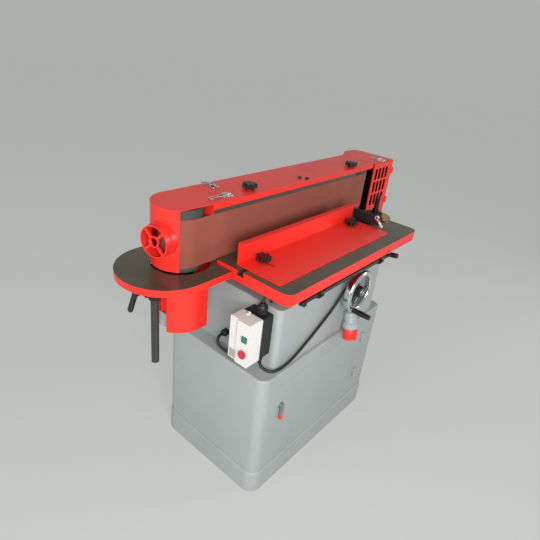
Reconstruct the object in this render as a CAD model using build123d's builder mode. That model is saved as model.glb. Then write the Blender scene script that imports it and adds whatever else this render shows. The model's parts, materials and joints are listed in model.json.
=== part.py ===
"""Edge sander on a closed steel stand, built from its separate pieces.

Millimetres. +X runs along the sanding belt to the right, -Y faces the operator, +Z is up.
The origin is the middle of the plinth's footprint, on the floor.
"""
import os
from math import cos, radians, sin, sqrt, tan

from build123d import *

os.makedirs("parts", exist_ok=True)

# Clearances
gap = 0.3            # between faces of pieces that move past each other
run = 0.05           # radial running fit of a shaft in its hole

# Heights: all follow from the covers' top, and the cabinet takes up the difference
cover_top = 1037
cover_over = 35      # covers above the belt's upper edge
belt_rise = 37       # belt above the base plate
riser_height = 53
frame_height = 238
table_rise = 107     # table top above the frame, at the lowest setting

# Stand
plinth_length = 764
plinth_depth = 478
plinth_height = 93
plinth_corner = 45
plinth_edge = 6
plinth_wall = 3
plinth_floor = 4
plinth_roof = 3
plinth_flange = 32
plinth_flange_corner = 14
anchor_span_x = 620
anchor_span_y = 340
anchor_hole = 14
cabinet_inset = 6
cabinet_corner = 35
cabinet_edge = 6
sheet = 2
frame_length = 636
frame_front = -218
frame_rear = 190
frame_corner = 20
frame_lap = 26
frame_plate = 8

# Cabinet door
door_left = -296
door_right = 250
door_rise = 58
door_drop = 56
door_sheet = 2
door_hinge_out = 6
door_hinge_forward = 6
knuckle_radius = 5
knuckle_length = 25
pin_radius = 2.5
door_hinge_inset = 60
handle_inset = 26
handle_drop = 94
latch_shaft = 5
latch_plate_radius = 13
latch_plate = 4
latch_arm_width = 16
latch_arm_length = 68
latch_arm = 7

# Main table and its lift
table_left = -380
table_length = 810
table_rear = 8
table_depth = 290
table_rim = 37
table_plate = 14
rim_wall = 9
table_corner = 28
table_rear_corner = 6
slot_y = -96
slot_width = 18
slot_depth = 9
tee_width = 28
tee_depth = 8
slot_rib = 46
slot_rib_depth = 25
cross_rib = 34
saddle_thick = 12
saddle_margin_x = 60
saddle_depth = 170
column_left = -170
column_inset = 56
lift_y = -120
column_radius = 15
column_depth = 190
bush_radius = 24
bush_flange = 33
bush_flange_thick = 8
bush_length = 55
screw_radius = 10
screw_depth = 205
shelf_drop = 80
shelf_thick = 10
shelf_width = 130
gear_radius = 24
gear_face = 10
gear_gap = 0.5
gear_hub = 18
pinion_hub = 16
pinion_hub_length = 14

# Handwheel
wheel_x = 70
wheel_out = 44
wheel_drop = 48
wheel_radius = 70
rim_half = 10
rim_half_width = 14
rim_edge = 8
wheel_hub = 21
hub_back = 13
hub_front = 15
spoke_radius = 6
spoke_count = 3
shaft_radius = 10
boss_radius = 18
boss_out = 3
boss_in = 22
crank_angle = 234
crank_pin = 4
crank_seat = 9
crank_length = 70
crank_thin = 8.5
crank_thick = 10.5

# Table lock bar
bar_left = -293
bar_right = 250
bar_out = 50
bar_height = 47
bar_radius = 7
bar_bend = 20
bar_reach = 31
bar_rise = 5
bar_left_bend = 9
bar_left_reach = 9.5
bar_left_rise = 1.5
grip_radius = 9.5
grip_length = 26
left_grip_length = 16
grip_end = 2
grip_taper = 30
bracket_left = -205
bracket_right = 175
bracket_width = 16
bracket_ring = 14
bracket_foot = 46
bracket_foot_thick = 9

# Fence on the table
fence_left_inset = 23   # from the left end of the table
fence_right_inset = 142
fence_front = -228
fence_rear = -58
fence_sheet = 4
fence_height = 75
fence_lip = 24
fence_bend = 5
fence_corner = 12
fence_travel_back = 8
fence_travel_out = 40
fence_slot_extra = 3
fence_knob_left_in = 77   # from the left end of the fence
fence_knob_right_in = 58
stud_radius = 5
tee_head_length = 26
stud_rise = 14

# Star knobs
knob_radius = 18
knob_lobe = 6.5
knob_lobes = 7
knob_head = 14
knob_neck = 12
knob_neck_height = 5
knob_edge = 2

# Mitre gauge
gauge_inset = 15
gauge_bar_out = 40
gauge_bar_length = 230
gauge_pin = 6
gauge_pin_seat = 7
scale_radius = 66
scale_thick = 3
scale_cut = 26
gauge_head_thick = 14
face_reach = 109
face_thick = 8
face_back = 39
face_fore = 84
face_rise = 9
face_height = 35
web_back = 34
web_fore = 32
gauge_boss = 30
gauge_handle_radius = 10
gauge_handle_rise = 89
gauge_handle_collar = 13
lever_fore = 67
lever_rise = 40
lever_pin = 4
lever_hub = 8
lever_thick = 8
lever_reach_y = -24
lever_reach_z = -29
lever_bar = 4.5

# Sanding belt, drums and platen
belt_face = 14
belt_thick = 1.2
belt_width = 150
drum_radius = 65
drum_wall = 8
drum_under = 14
drum_over = 28
drum_web = 18
drum_hub = 26
drum_hub_drop = 30
drum_centres = 926
left_axis_x = -459
spindle_radius = 14
spindle_drop = 143
spindle_nut = 20
spindle_nut_thick = 9
platen_thick = 10
platen_from_left = 61
platen_from_right = 67
platen_under = 6
platen_over = 16

# Head
base_thick = 12
base_out = 153
base_front = 10
riser_length = 520
riser_front = 18
riser_rear = 150
riser_wall = 8
bearing_radius = 45
bearing_height = 19
beam_gap = 14
beam_rear = 132
beam_over = 14
beam_wall = 4
cover_stud_left = -207
cover_stud_inset = 9
cover_stud_left_y = 52
cover_stud_right_y = 36
cover_post = 8

# Belt tension
slide_before = 43
slide_after = 129
slide_half = 44
slide_thick = 17
rail_width = 14
rail_before = 61
rail_after = 161
axle_radius = 12.5
axle_low_gap = 5
tension_screw = 6
tension_screw_from = 53
tension_bracket_from = 163
tension_bracket_thick = 12
tension_bracket_half = 26
tension_bracket_height = 30
tension_travel = 8
knob_stand_off = 4

# Motor and its guard
motor_flange_radius = 82
motor_flange = 10
motor_radius = 62
motor_fin = 8
motor_fin_width = 4
motor_fins = 24
motor_length = 113
fan_cover_height = 47
fan_cover_radius = 70
fan_cover_wall = 3
fan_hole = 5
fan_ring = 46
fan_holes = 12
guard_radius = 88
guard_sheet = 2
guard_height = 163
guard_straight = 39  # straight sides, from the axis to their free edges
guard_open_from = 158
guard_open_to = 205

# Covers
cover_front = 8
cover_rear = 168
cover_sheet = 2
cover_flange = 19
cover_rear_flange = 35
flange_from = 57     # front flange starts this far right of the left drum's axis
tab_depth = 37
tab_clear = 2        # over the belt's upper edge
tab_dip = 24         # below the belt's upper edge, behind the belt
tab_behind = 3       # clear of the belt's back
cap_mouth = 16
seam_from = 119
seam_gap = 1
cap_under = 2
cover_hinge_out = 6
cover_hinge_rise = 40
cover_hinge_drop = 52
cover_knuckle = 24
guard_foot = 14
port_angle = 11
port_drop = 92
port_radius = 48
port_wall = 4
port_out = 115   # mouth from the drum's axis
port_collar = 51
port_collar_out = 95
port_core = 17
port_core_wall = 4
port_spoke = 7
port_spokes = 4
port_spoke_turn = 45
port_grid = 6
right_from = 58
right_length = 165
right_front = 4
right_rear = 206
right_slope = 75
right_drop = 35
right_corner = 40
right_post = 5
grille_hinge_out = 4
grille_hinge_forward = 1
grille_hinge_strap = 12
grille_hinge_rise = 70
grille_hinge_drop = 47
grille_knuckle = 14
grille_sheet = 2
slot_columns = 4
slot_rows = 3
slot_pitch_x = 30
slot_pitch_z = 58
grille_slot_width = 21
grille_slot_height = 49
grille_slot_corner = 3
grille_slot_from = 72
grille_slot_drop = 107
latch_width = 26
latch_base_thick = 2
latch_lever = 5
latch_rod = 1.5
latch_inset = 5
latch_edge = 4.5
seam_latch_y = 42
seam_latch_reach = 50
seam_latch_base = 38
rear_latch_from = 46
rear_latch_base = 58
rear_latch_reach = 8
grille_latch_from = 86
grille_latch_base = 56
grille_latch_front = 14
bolt_head = 7
bolt_head_thick = 6
bolt_shank = 4
bolt_one_x = 44
bolt_one_y = 42
bolt_two_x = 59
bolt_two_y = 20

# End table
end_centre_from = 54
end_radius = 147
end_drop = 6         # below the belt's lower edge
end_thick = 22
end_reach = 75
end_gap_cap = 4.5
end_gap_belt = 4
post_from = 114
post_y = 53
post_radius = 12
post_depth = 261
post_flange = 22
post_flange_thick = 8
clamp_radius = 18
clamp_depth = 34
clamp_slit = 4
ear_half = 20
ear_from = 12
ear_to = 46
ear_depth = 32
ear_gap = 2
clamp_screw = 5
clamp_screw_y = 34   # behind the post
clamp_screw_drop = 17
clamp_hub = 11
clamp_hub_length = 26
clamp_arm = 82
clamp_arm_lean = 22
clamp_arm_width = 15
clamp_arm_thick = 9
clamp_nut = 9
clamp_nut_thick = 9

# Switch box, cables and plug
switch_rear = -108
switch_front = -191
switch_drop = 21
switch_height = 149
switch_base_thick = 46
switch_edge = 5
box_rear = -103
box_front = -189
box_drop = 23
box_height = 153
box_deep = 50
box_wall = 3
step_width = 51
step_rise = 6
button_y = -171
on_drop = 78
off_drop = 130
on_size = 20
on_stand = 4
button_length = 20
off_size = 14
off_head = 6
off_stem = 9
off_stand = 4.5
mains_gland_x = -346
mains_gland_y = -178
mains_gland_length = 16
gland_radius = 9
top_gland_x = -340
top_gland_y = -162
top_gland_radius = 17
top_gland_length = 36
rear_gland_y = -3
rear_gland_rise = 54  # above the ledge
rear_gland_radius = 13
rear_gland_length = 24
rear_exit = 16
rear_entry_x = -341
rear_entry_y = -116
lead_radius = 3.5
rear_lead_radius = 5
top_lead_shoulder = 28
top_lead_crown = 46
top_lead_span = 40
cord_radius = 5
cord_last_run = 34
cord_off = 16         # cord's middle before the frame's front
relief_radius = 7
relief_length = 20
plug_radius = 29
plug_length = 63
plug_neck = 16
plug_neck_length = 12
shroud_radius = 27
shroud_wall = 3
shroud_length = 43
plug_pin = 3
plug_pin_ring = 14
plug_pin_count = 5
plug_pin_length = 38
bend_share = 0.45     # part of a route's shorter run that a bend takes up

# Places that follow from the sizes above
belt_high = cover_top - cover_over
belt_low = belt_high - belt_width
base_top = belt_low - belt_rise
base_low = base_top - base_thick
frame_top = base_low - riser_height
cabinet_top = frame_top - frame_height
table_top = frame_top + table_rise
cabinet_length = plinth_length - 2 * cabinet_inset
cabinet_depth = plinth_depth - 2 * cabinet_inset
cabinet_face = -cabinet_depth / 2
frame_depth = frame_rear - frame_front
frame_mid = (frame_rear + frame_front) / 2
frame_left = -frame_length / 2
door_low = plinth_height + door_rise
door_high = cabinet_top - door_drop
door_back = cabinet_face - gap + door_sheet
door_hinge_x = door_right + door_hinge_out
door_hinge_y = door_back - door_sheet - door_hinge_forward
door_hinges = (door_low + door_hinge_inset, door_high - door_hinge_inset)
latch_x = door_left + handle_inset
latch_z = door_high - handle_drop
table_mid_x = table_left + table_length / 2
table_right = table_left + table_length
table_mid_y = table_rear - table_depth / 2
table_low = table_top - table_rim
tee_top = table_top - slot_depth
tee_low = tee_top - tee_depth
saddle_low = table_low - saddle_thick
wheel_y = frame_front - wheel_out
wheel_z = frame_top - wheel_drop
shelf_low = wheel_z - shelf_drop
shelf_top = shelf_low + shelf_thick
column_low = frame_top - column_depth
column_right = frame_length / 2 - column_inset
screw_low = frame_top - screw_depth
columns = ((column_left, lift_y), (column_right, lift_y))
bar_y = frame_front - bar_out
bar_z = frame_top + bar_height
axis_y = belt_face + belt_thick + gap + drum_radius
right_axis_x = left_axis_x + drum_centres
belt_inner = drum_radius + gap
belt_outer = belt_inner + belt_thick
belt_mid_x = left_axis_x + drum_centres / 2
drum_low = belt_low - drum_under
drum_high = belt_high + drum_over
drum_hub_high = drum_high - drum_hub_drop
drum_mid = (drum_low + drum_hub_high) / 2
platen_front = belt_face + belt_thick + gap
platen_left = left_axis_x + platen_from_left
platen_right = right_axis_x - platen_from_right
platen_low = belt_low - platen_under
platen_high = belt_high + platen_over
beam_front = platen_front + platen_thick
beam_left = left_axis_x + drum_radius + beam_gap
beam_right = right_axis_x - drum_radius - beam_gap
beam_high = belt_high + beam_over
cover_stud_right = beam_right - cover_stud_inset
cover_studs = ((cover_stud_left, cover_stud_left_y), (cover_stud_right, cover_stud_right_y))
right_left = right_axis_x + right_from
right_right = right_left + right_length
right_mid = (right_left + right_right) / 2
right_low = base_top - right_drop
base_left = left_axis_x - base_out
base_rear = cover_rear - cover_sheet - gap
base_right = right_right - cover_sheet
bearing_high = base_top + bearing_height
cover_under = cover_top - cover_sheet
cover_flange_low = cover_top - cover_flange
cover_rear_low = cover_top - cover_rear_flange
seam_x = left_axis_x + seam_from
top_cover_left = seam_x + seam_gap
top_cover_right = right_left - cover_sheet
cover_mid = (top_cover_left + top_cover_right) / 2
cover_length = top_cover_right - top_cover_left
flange_left = left_axis_x + flange_from
flange_high = cover_under - gap
tab_front = belt_face + belt_thick + tab_behind
tab_rear = cover_front + tab_depth
cap_radius = cover_rear - axis_y
cap_low = belt_low - cap_under
cap_reach = sqrt(cap_radius ** 2 - (axis_y - cap_mouth) ** 2)
cover_hinge_y = cover_rear + cover_hinge_out
cover_hinges = (cap_low + cover_hinge_rise, cover_top - cover_hinge_drop)
port_z = cover_top - port_drop
port_way = (-cos(radians(port_angle)), -sin(radians(port_angle)), 0)
end_centre_x = left_axis_x - end_centre_from
end_right = left_axis_x + end_reach
end_cut = cap_radius + end_gap_cap
end_top = belt_low - end_drop
end_low = end_top - end_thick
post_x = left_axis_x - post_from
post_low = base_low - post_depth
clamp_y = post_y + clamp_screw_y
clamp_low = base_low - clamp_depth
clamp_screw_z = base_low - clamp_screw_drop
clamp_arm_y = clamp_y + clamp_arm / 2 * sin(radians(clamp_arm_lean))
clamp_arm_z = clamp_screw_z - clamp_arm / 2 * cos(radians(clamp_arm_lean))
ear_low = base_low - ear_depth
ear_high = base_low - ear_gap
motor_low = base_low - motor_length
fan_cover_low = motor_low - fan_cover_height
guard_low = base_low - guard_height
spindle_low = base_low - spindle_drop
slide_left = right_axis_x - slide_before
slide_right = right_axis_x + slide_after
slide_low = base_top + gap
rail_left = right_axis_x - rail_before
rail_right = right_axis_x + rail_after
rail_out = slide_half + gap + rail_width / 2
slide_high = slide_low + slide_thick
tension_z = slide_low + slide_thick / 2
tension_screw_left = right_axis_x + tension_screw_from
tension_bracket_x = right_axis_x + tension_bracket_from
tension_bracket_high = base_top + tension_bracket_height
grille_back = right_front - gap
grille_hinge_x = right_right + grille_hinge_out
grille_hinge_y = grille_back - grille_sheet - grille_hinge_forward
grille_hinges = (right_low + grille_hinge_rise, cover_top - grille_hinge_drop)
fence_left = table_left + fence_left_inset
fence_right = table_right - fence_right_inset
fence_knob_left_x = fence_left + fence_knob_left_in
fence_knob_right_x = fence_right - fence_knob_right_in
fence_low = table_top + gap
fence_seat = fence_low + fence_sheet
fence_top = fence_low + fence_height
gauge_x = table_right - gauge_inset
gauge_bar_right = table_right + gauge_bar_out
gauge_bar_left = gauge_bar_right - gauge_bar_length
gauge_bar_high = table_top - gap
scale_low = table_top + gap
gauge_head_low = scale_low + scale_thick + gap
gauge_head_high = gauge_head_low + gauge_head_thick
gauge_handle_top = table_top + gauge_handle_rise
face_x = gauge_x - face_reach
face_low = table_top + face_rise
face_back_x = face_x + face_thick
lever_y = slot_y - lever_fore
lever_z = table_top + lever_rise
switch_x = frame_left - switch_base_thick
switch_high = frame_top - switch_drop
switch_low = switch_high - switch_height
box_high = frame_top - box_drop
box_low = box_high - box_height
box_face = switch_x - box_deep
step_face = box_face - step_rise
on_z = frame_top - on_drop
off_z = frame_top - off_drop
rear_gland_z = cabinet_top + rear_gland_rise
crank_x = wheel_x + wheel_radius * cos(radians(crank_angle))
crank_z = wheel_z + wheel_radius * sin(radians(crank_angle))

# Working planes: towards the operator, along the belt, up from a drum's middle, and out along the dust port
wheel_plane = Plane(origin=(wheel_x, wheel_y, wheel_z), x_dir=(1, 0, 0), z_dir=(0, -1, 0))
crank_plane = Plane(origin=(crank_x, wheel_y, crank_z), x_dir=(1, 0, 0), z_dir=(0, -1, 0))
shaft_plane = Plane(origin=(wheel_x, lift_y, wheel_z), x_dir=(1, 0, 0), z_dir=(0, -1, 0))
left_section = Plane(origin=(left_axis_x, axis_y, 0), x_dir=(1, 0, 0), z_dir=(0, -1, 0))
right_section = Plane(origin=(right_axis_x, axis_y, 0), x_dir=(1, 0, 0), z_dir=(0, -1, 0))
gear_section = Plane(origin=(wheel_x, lift_y, 0), x_dir=(1, 0, 0), z_dir=(0, -1, 0))
left_axis = Axis((left_axis_x, axis_y, 0), (0, 0, 1))
right_axis = Axis((right_axis_x, axis_y, 0), (0, 0, 1))
gear_axis = Axis((wheel_x, lift_y, 0), (0, 0, 1))
port_plane = Plane(origin=(left_axis_x, axis_y, port_z), x_dir=(port_way[1], -port_way[0], 0), z_dir=port_way)

# Plinth: floor plate with anchor holes, walls and a flange that carries the cabinet
with BuildPart() as base_plinth:
    with BuildSketch():
        RectangleRounded(plinth_length, plinth_depth, plinth_corner)
    extrude(amount=plinth_height)
    fillet(base_plinth.faces().sort_by(Axis.Z)[-1].edges(), plinth_edge)
    with BuildSketch(Plane.XY.offset(plinth_floor)):
        RectangleRounded(
            plinth_length - 2 * plinth_wall, plinth_depth - 2 * plinth_wall, plinth_corner - plinth_wall)
    extrude(amount=plinth_height - plinth_floor - plinth_roof, mode=Mode.SUBTRACT)
    with BuildSketch(Plane.XY.offset(plinth_height - plinth_roof)):
        RectangleRounded(
            plinth_length - 2 * plinth_flange, plinth_depth - 2 * plinth_flange, plinth_flange_corner)
    extrude(amount=plinth_roof, mode=Mode.SUBTRACT)
    with Locations((0, 0, plinth_floor)):
        with GridLocations(anchor_span_x, anchor_span_y, 2, 2):
            Hole(anchor_hole / 2, depth=plinth_floor)

# Lower cabinet: folded shell with a door opening and two pin hinges
with BuildPart() as lower_cabinet:
    with BuildSketch(Plane.XY.offset(plinth_height)):
        RectangleRounded(cabinet_length, cabinet_depth, cabinet_corner)
    extrude(amount=cabinet_top - plinth_height)
    fillet(lower_cabinet.faces().sort_by(Axis.Z)[-1].edges(), cabinet_edge)
    with BuildSketch(Plane.XY.offset(plinth_height)):
        RectangleRounded(cabinet_length - 2 * sheet, cabinet_depth - 2 * sheet, cabinet_corner - sheet)
    extrude(amount=cabinet_top - plinth_height - cabinet_edge, mode=Mode.SUBTRACT)
    with BuildSketch(Plane.XY.offset(cabinet_top - cabinet_edge)):
        with Locations((0, frame_mid)):
            Rectangle(frame_length - 2 * frame_lap, frame_depth - 2 * frame_lap)
    extrude(amount=cabinet_edge, mode=Mode.SUBTRACT)
    with BuildSketch(Plane.XZ.offset(-cabinet_face)):
        with Locations(((door_left + door_right) / 2, (door_low + door_high) / 2)):
            Rectangle(door_right - door_left + 2 * gap, door_high - door_low + 2 * gap)
    extrude(amount=-2 * sheet, mode=Mode.SUBTRACT)
    for hinge_z in door_hinges:
        with BuildSketch(Plane.XY.offset(hinge_z - knuckle_length)):
            with Locations((door_hinge_x, door_hinge_y)):
                Circle(knuckle_radius)
            with Locations((door_hinge_x + knuckle_radius, (door_hinge_y + cabinet_face) / 2)):
                Rectangle(2 * knuckle_radius + 2 * pin_radius, cabinet_face - door_hinge_y)
        extrude(amount=knuckle_length)
        with BuildSketch(Plane.XY.offset(hinge_z)):
            with Locations((door_hinge_x, door_hinge_y)):
                Circle(pin_radius)
        extrude(amount=knuckle_length)

# Cabinet door: flat panel flush in its opening, with its own hinge knuckles
with BuildPart() as cabinet_door:
    with BuildSketch(Plane.XZ.offset(-door_back)):
        with Locations(((door_left + door_right) / 2, (door_low + door_high) / 2)):
            Rectangle(door_right - door_left, door_high - door_low)
        with Locations((latch_x, latch_z)):
            Circle(latch_shaft + run, mode=Mode.SUBTRACT)
    extrude(amount=door_sheet)
    for hinge_z in door_hinges:
        with BuildSketch(Plane.XY.offset(hinge_z + gap)):
            with Locations((door_hinge_x, door_hinge_y)):
                Circle(knuckle_radius)
            with Locations((door_right, door_back - door_sheet - door_hinge_forward / 2)):
                Rectangle(2 * door_hinge_out, door_hinge_forward)
            with Locations((door_hinge_x, door_hinge_y)):
                Circle(pin_radius + run, mode=Mode.SUBTRACT)
        extrude(amount=knuckle_length - gap)

# Door latch: round rose, hanging handle and a shaft through the door
with BuildPart() as door_latch:
    with BuildSketch(Plane.XZ.offset(-door_back + door_sheet + gap)):
        with Locations((latch_x, latch_z)):
            Circle(latch_plate_radius)
    extrude(amount=latch_plate)
    with BuildSketch(Plane.XZ.offset(-door_back + door_sheet + gap + latch_plate)):
        with Locations((latch_x, latch_z - latch_arm_length / 2 + latch_arm_width / 2)):
            RectangleRounded(latch_arm_width, latch_arm_length, latch_arm_width / 3)
    extrude(amount=latch_arm)
    with BuildSketch(Plane.XZ.offset(-door_back)):
        with Locations((latch_x, latch_z)):
            Circle(latch_shaft)
    extrude(amount=door_sheet + gap)

# Upper frame: folded shell with a top plate, the shaft boss and a shelf for the lift gear
with BuildPart() as upper_frame:
    with BuildSketch(Plane.XY.offset(cabinet_top)):
        with Locations((0, frame_mid)):
            RectangleRounded(frame_length, frame_depth, frame_corner)
    extrude(amount=frame_top - cabinet_top)
    with BuildSketch(Plane.XY.offset(cabinet_top)):
        with Locations((0, frame_mid)):
            RectangleRounded(frame_length - 2 * sheet, frame_depth - 2 * sheet, frame_corner - sheet)
    extrude(amount=frame_top - cabinet_top - frame_plate, mode=Mode.SUBTRACT)
    with BuildSketch(Plane.XY.offset(shelf_low)):
        with Locations((wheel_x, frame_mid)):
            Rectangle(shelf_width, frame_depth - sheet)
    extrude(amount=shelf_thick)
    with BuildSketch(Plane.XZ.offset(-frame_front + boss_out)):
        with Locations((wheel_x, wheel_z)):
            Circle(boss_radius)
    extrude(amount=-boss_out - boss_in)
    with BuildSketch(Plane.XZ.offset(-frame_front + boss_out)):
        with Locations((wheel_x, wheel_z)):
            Circle(shaft_radius + run)
    extrude(amount=-boss_out - boss_in, mode=Mode.SUBTRACT)
    with BuildSketch(Plane.XY.offset(frame_top - frame_plate)):
        with Locations(*columns):
            Circle(bush_radius + run)
        with Locations((wheel_x, lift_y)):
            Circle(screw_radius + gap)
    extrude(amount=frame_plate, mode=Mode.SUBTRACT)
    with BuildSketch(Plane.XY.offset(shelf_low)):
        with Locations((wheel_x, lift_y)):
            Circle(screw_radius + gap)
    extrude(amount=shelf_thick, mode=Mode.SUBTRACT)

# Guide bushes in the top plate
with BuildPart() as column_bushes:
    with BuildSketch(Plane.XY.offset(frame_top - bush_length)):
        with Locations(*columns):
            Circle(bush_radius)
    extrude(amount=bush_length)
    with BuildSketch(Plane.XY.offset(frame_top)):
        with Locations(*columns):
            Circle(bush_flange)
    extrude(amount=bush_flange_thick)
    with BuildSketch(Plane.XY.offset(frame_top - bush_length)):
        with Locations(*columns):
            Circle(column_radius + run)
    extrude(amount=bush_length + bush_flange_thick, mode=Mode.SUBTRACT)

# Guide columns under the saddle
with BuildPart() as guide_columns:
    with BuildSketch(Plane.XY.offset(column_low)):
        with Locations(*columns):
            Circle(column_radius)
    extrude(amount=saddle_low - column_low)

# Saddle plate under the table
with BuildPart() as table_saddle:
    with BuildSketch(Plane.XY.offset(saddle_low)):
        with Locations(((column_left + column_right) / 2, lift_y)):
            Rectangle(column_right - column_left + 2 * saddle_margin_x, saddle_depth)
    extrude(amount=saddle_thick)

# Lift screw, fixed under the saddle
with BuildPart() as lift_screw:
    with BuildSketch(Plane.XY.offset(screw_low)):
        with Locations((wheel_x, lift_y)):
            Circle(screw_radius)
    extrude(amount=saddle_low - screw_low)

# Bevel gear whose hub is the lift nut
with BuildPart() as gear_nut:
    with BuildSketch(gear_section):
        with BuildLine():
            Polyline(
                (screw_radius + run, shelf_top),
                (gear_hub, shelf_top),
                (gear_hub, wheel_z - gear_radius - gear_gap - gear_face / 2),
                (gear_radius - gear_gap, wheel_z - gear_radius - gear_gap - gear_face / 2),
                (gear_radius - gear_gap, wheel_z - gear_radius - gear_gap),
                (gear_radius - gear_face - gear_gap, wheel_z - gear_radius + gear_face - gear_gap),
                (screw_radius + run, wheel_z - gear_radius + gear_face - gear_gap),
                close=True)
        make_face()
    revolve(axis=gear_axis)

# Handwheel shaft with its bevel pinion
with BuildPart() as handwheel_shaft:
    with BuildSketch(shaft_plane.offset(gear_radius)):
        Circle(shaft_radius)
    extrude(amount=lift_y - wheel_y + hub_front - gear_radius)
    with BuildSketch(shaft_plane.offset(gear_radius)):
        Circle(pinion_hub)
    extrude(amount=pinion_hub_length)
    with BuildSketch(shaft_plane.offset(gear_radius)):
        Circle(gear_radius - gear_gap)
    with BuildSketch(shaft_plane.offset(gear_radius - gear_face)):
        Circle(gear_radius - gear_face - gear_gap)
    loft()

# Handwheel: hub, three spokes, the pin of the crank handle, and last the round rim
with BuildPart() as handwheel:
    with BuildSketch(wheel_plane.offset(-hub_back)):
        Circle(wheel_hub)
    extrude(amount=hub_back + hub_front)
    for spoke in range(spoke_count):
        spoke_angle = radians(crank_angle + spoke * 360 / spoke_count)
        spoke_way = (cos(spoke_angle), 0, sin(spoke_angle))
        with BuildSketch(Plane(origin=wheel_plane.origin, x_dir=(0, 1, 0), z_dir=spoke_way)):
            Circle(spoke_radius)
        extrude(amount=wheel_radius)
    with BuildSketch(crank_plane):
        Circle(crank_seat)
    extrude(amount=rim_half_width + gap)
    with BuildSketch(crank_plane):
        Circle(crank_pin)
    extrude(amount=rim_half_width + gap + crank_length - crank_thin)
    with BuildSketch(wheel_plane.offset(-hub_back)):
        Circle(shaft_radius + run)
    extrude(amount=hub_back + hub_front, mode=Mode.SUBTRACT)
    with BuildSketch(Plane(origin=wheel_plane.origin)):
        with Locations((wheel_radius, 0)):
            RectangleRounded(2 * rim_half, 2 * rim_half_width, rim_edge)
    revolve(axis=Axis(wheel_plane.origin, (0, 1, 0)))

# Crank handle that turns on its pin
with BuildPart() as crank_handle:
    with BuildSketch(crank_plane.offset(rim_half_width + 2 * gap)):
        Circle(crank_thin)
    with BuildSketch(crank_plane.offset(rim_half_width + 2 * gap + crank_length / 2)):
        Circle(crank_thick)
    loft()
    with BuildSketch(crank_plane.offset(rim_half_width + 2 * gap + crank_length / 2)):
        Circle(crank_thick)
    with BuildSketch(crank_plane.offset(rim_half_width + 2 * gap + crank_length)):
        Circle(crank_thin)
    loft()
    fillet(crank_handle.faces().sort_by(Axis.Y)[0].edges(), crank_thin / 3)
    with BuildSketch(crank_plane.offset(rim_half_width + 2 * gap)):
        Circle(crank_pin + run)
    extrude(amount=crank_length - crank_thin, mode=Mode.SUBTRACT)

# Lock bar under the table's front edge, both ends bent towards the operator
with BuildPart() as lock_bar:
    with BuildLine() as bar_path:
        FilletPolyline(
            (bar_left, bar_y - bar_left_reach, bar_z + bar_left_rise),
            (bar_left, bar_y, bar_z),
            (bar_right, bar_y, bar_z),
            (bar_right, bar_y - bar_reach, bar_z + bar_rise),
            radius=(bar_left_bend, bar_bend))
    with BuildSketch(Plane(origin=bar_path.line @ 0, z_dir=bar_path.line % 0)):
        Circle(bar_radius)
    sweep(path=bar_path.wires()[0])
    for end, side, length in ((0, 1, left_grip_length), (1, -1, grip_length)):
        with BuildSketch(Plane(origin=bar_path.line @ end, z_dir=(bar_path.line % end) * side)):
            Circle(grip_radius)
        extrude(amount=length)
        with BuildSketch(Plane(origin=bar_path.line @ end, z_dir=(bar_path.line % end) * side)):
            Circle(grip_radius)
        extrude(amount=-grip_end, taper=grip_taper)

# Brackets that carry the lock bar on the upper frame
with BuildPart() as lock_bar_brackets:
    for bracket_x in (bracket_left, bracket_right):
        with BuildSketch(Plane.YZ.offset(bracket_x - bracket_width / 2)):
            with BuildLine():
                Polyline(
                    (frame_front + bracket_foot, frame_top),
                    (frame_front + bracket_foot, frame_top + bracket_foot_thick),
                    (frame_front + bracket_ring, frame_top + bracket_foot_thick),
                    (bar_y + bracket_ring, bar_z),
                    (bar_y, bar_z - bracket_ring),
                    (frame_front, frame_top),
                    close=True)
            make_face()
            with Locations((bar_y, bar_z)):
                Circle(bracket_ring)
            with Locations((bar_y, bar_z)):
                Circle(bar_radius + run, mode=Mode.SUBTRACT)
        extrude(amount=bracket_width)

# Main table: ribbed casting with a T-slot open at both ends
with BuildPart() as main_table:
    with BuildSketch(Plane.XY.offset(table_low)) as table_outline:
        with Locations((table_mid_x, table_mid_y)):
            Rectangle(table_length, table_depth)
        fillet(table_outline.vertices().group_by(Axis.Y)[0], table_corner)
        fillet(table_outline.vertices().group_by(Axis.Y)[-1], table_rear_corner)
    extrude(amount=table_rim)
    with BuildSketch(Plane.XY.offset(table_low)):
        with Locations((table_mid_x, table_mid_y)):
            RectangleRounded(table_length - 2 * rim_wall, table_depth - 2 * rim_wall, table_corner - rim_wall)
    extrude(amount=table_rim - table_plate, mode=Mode.SUBTRACT)
    with BuildSketch(Plane.XY.offset(table_top - slot_rib_depth)):
        with Locations((table_mid_x, slot_y)):
            Rectangle(table_length - rim_wall, slot_rib)
    extrude(amount=slot_rib_depth - table_plate)
    with BuildSketch(Plane.XY.offset(table_low)):
        for rib_x in (column_left, wheel_x, column_right):
            with Locations((rib_x, table_mid_y)):
                Rectangle(cross_rib, table_depth - rim_wall)
    extrude(amount=table_rim - table_plate)
    with BuildSketch(Plane.XY.offset(tee_top)):
        with Locations((table_mid_x, slot_y)):
            Rectangle(table_length, slot_width)
    extrude(amount=slot_depth, mode=Mode.SUBTRACT)
    with BuildSketch(Plane.XY.offset(tee_low)):
        with Locations((table_mid_x, slot_y)):
            Rectangle(table_length, tee_width)
    extrude(amount=tee_depth, mode=Mode.SUBTRACT)

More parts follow.
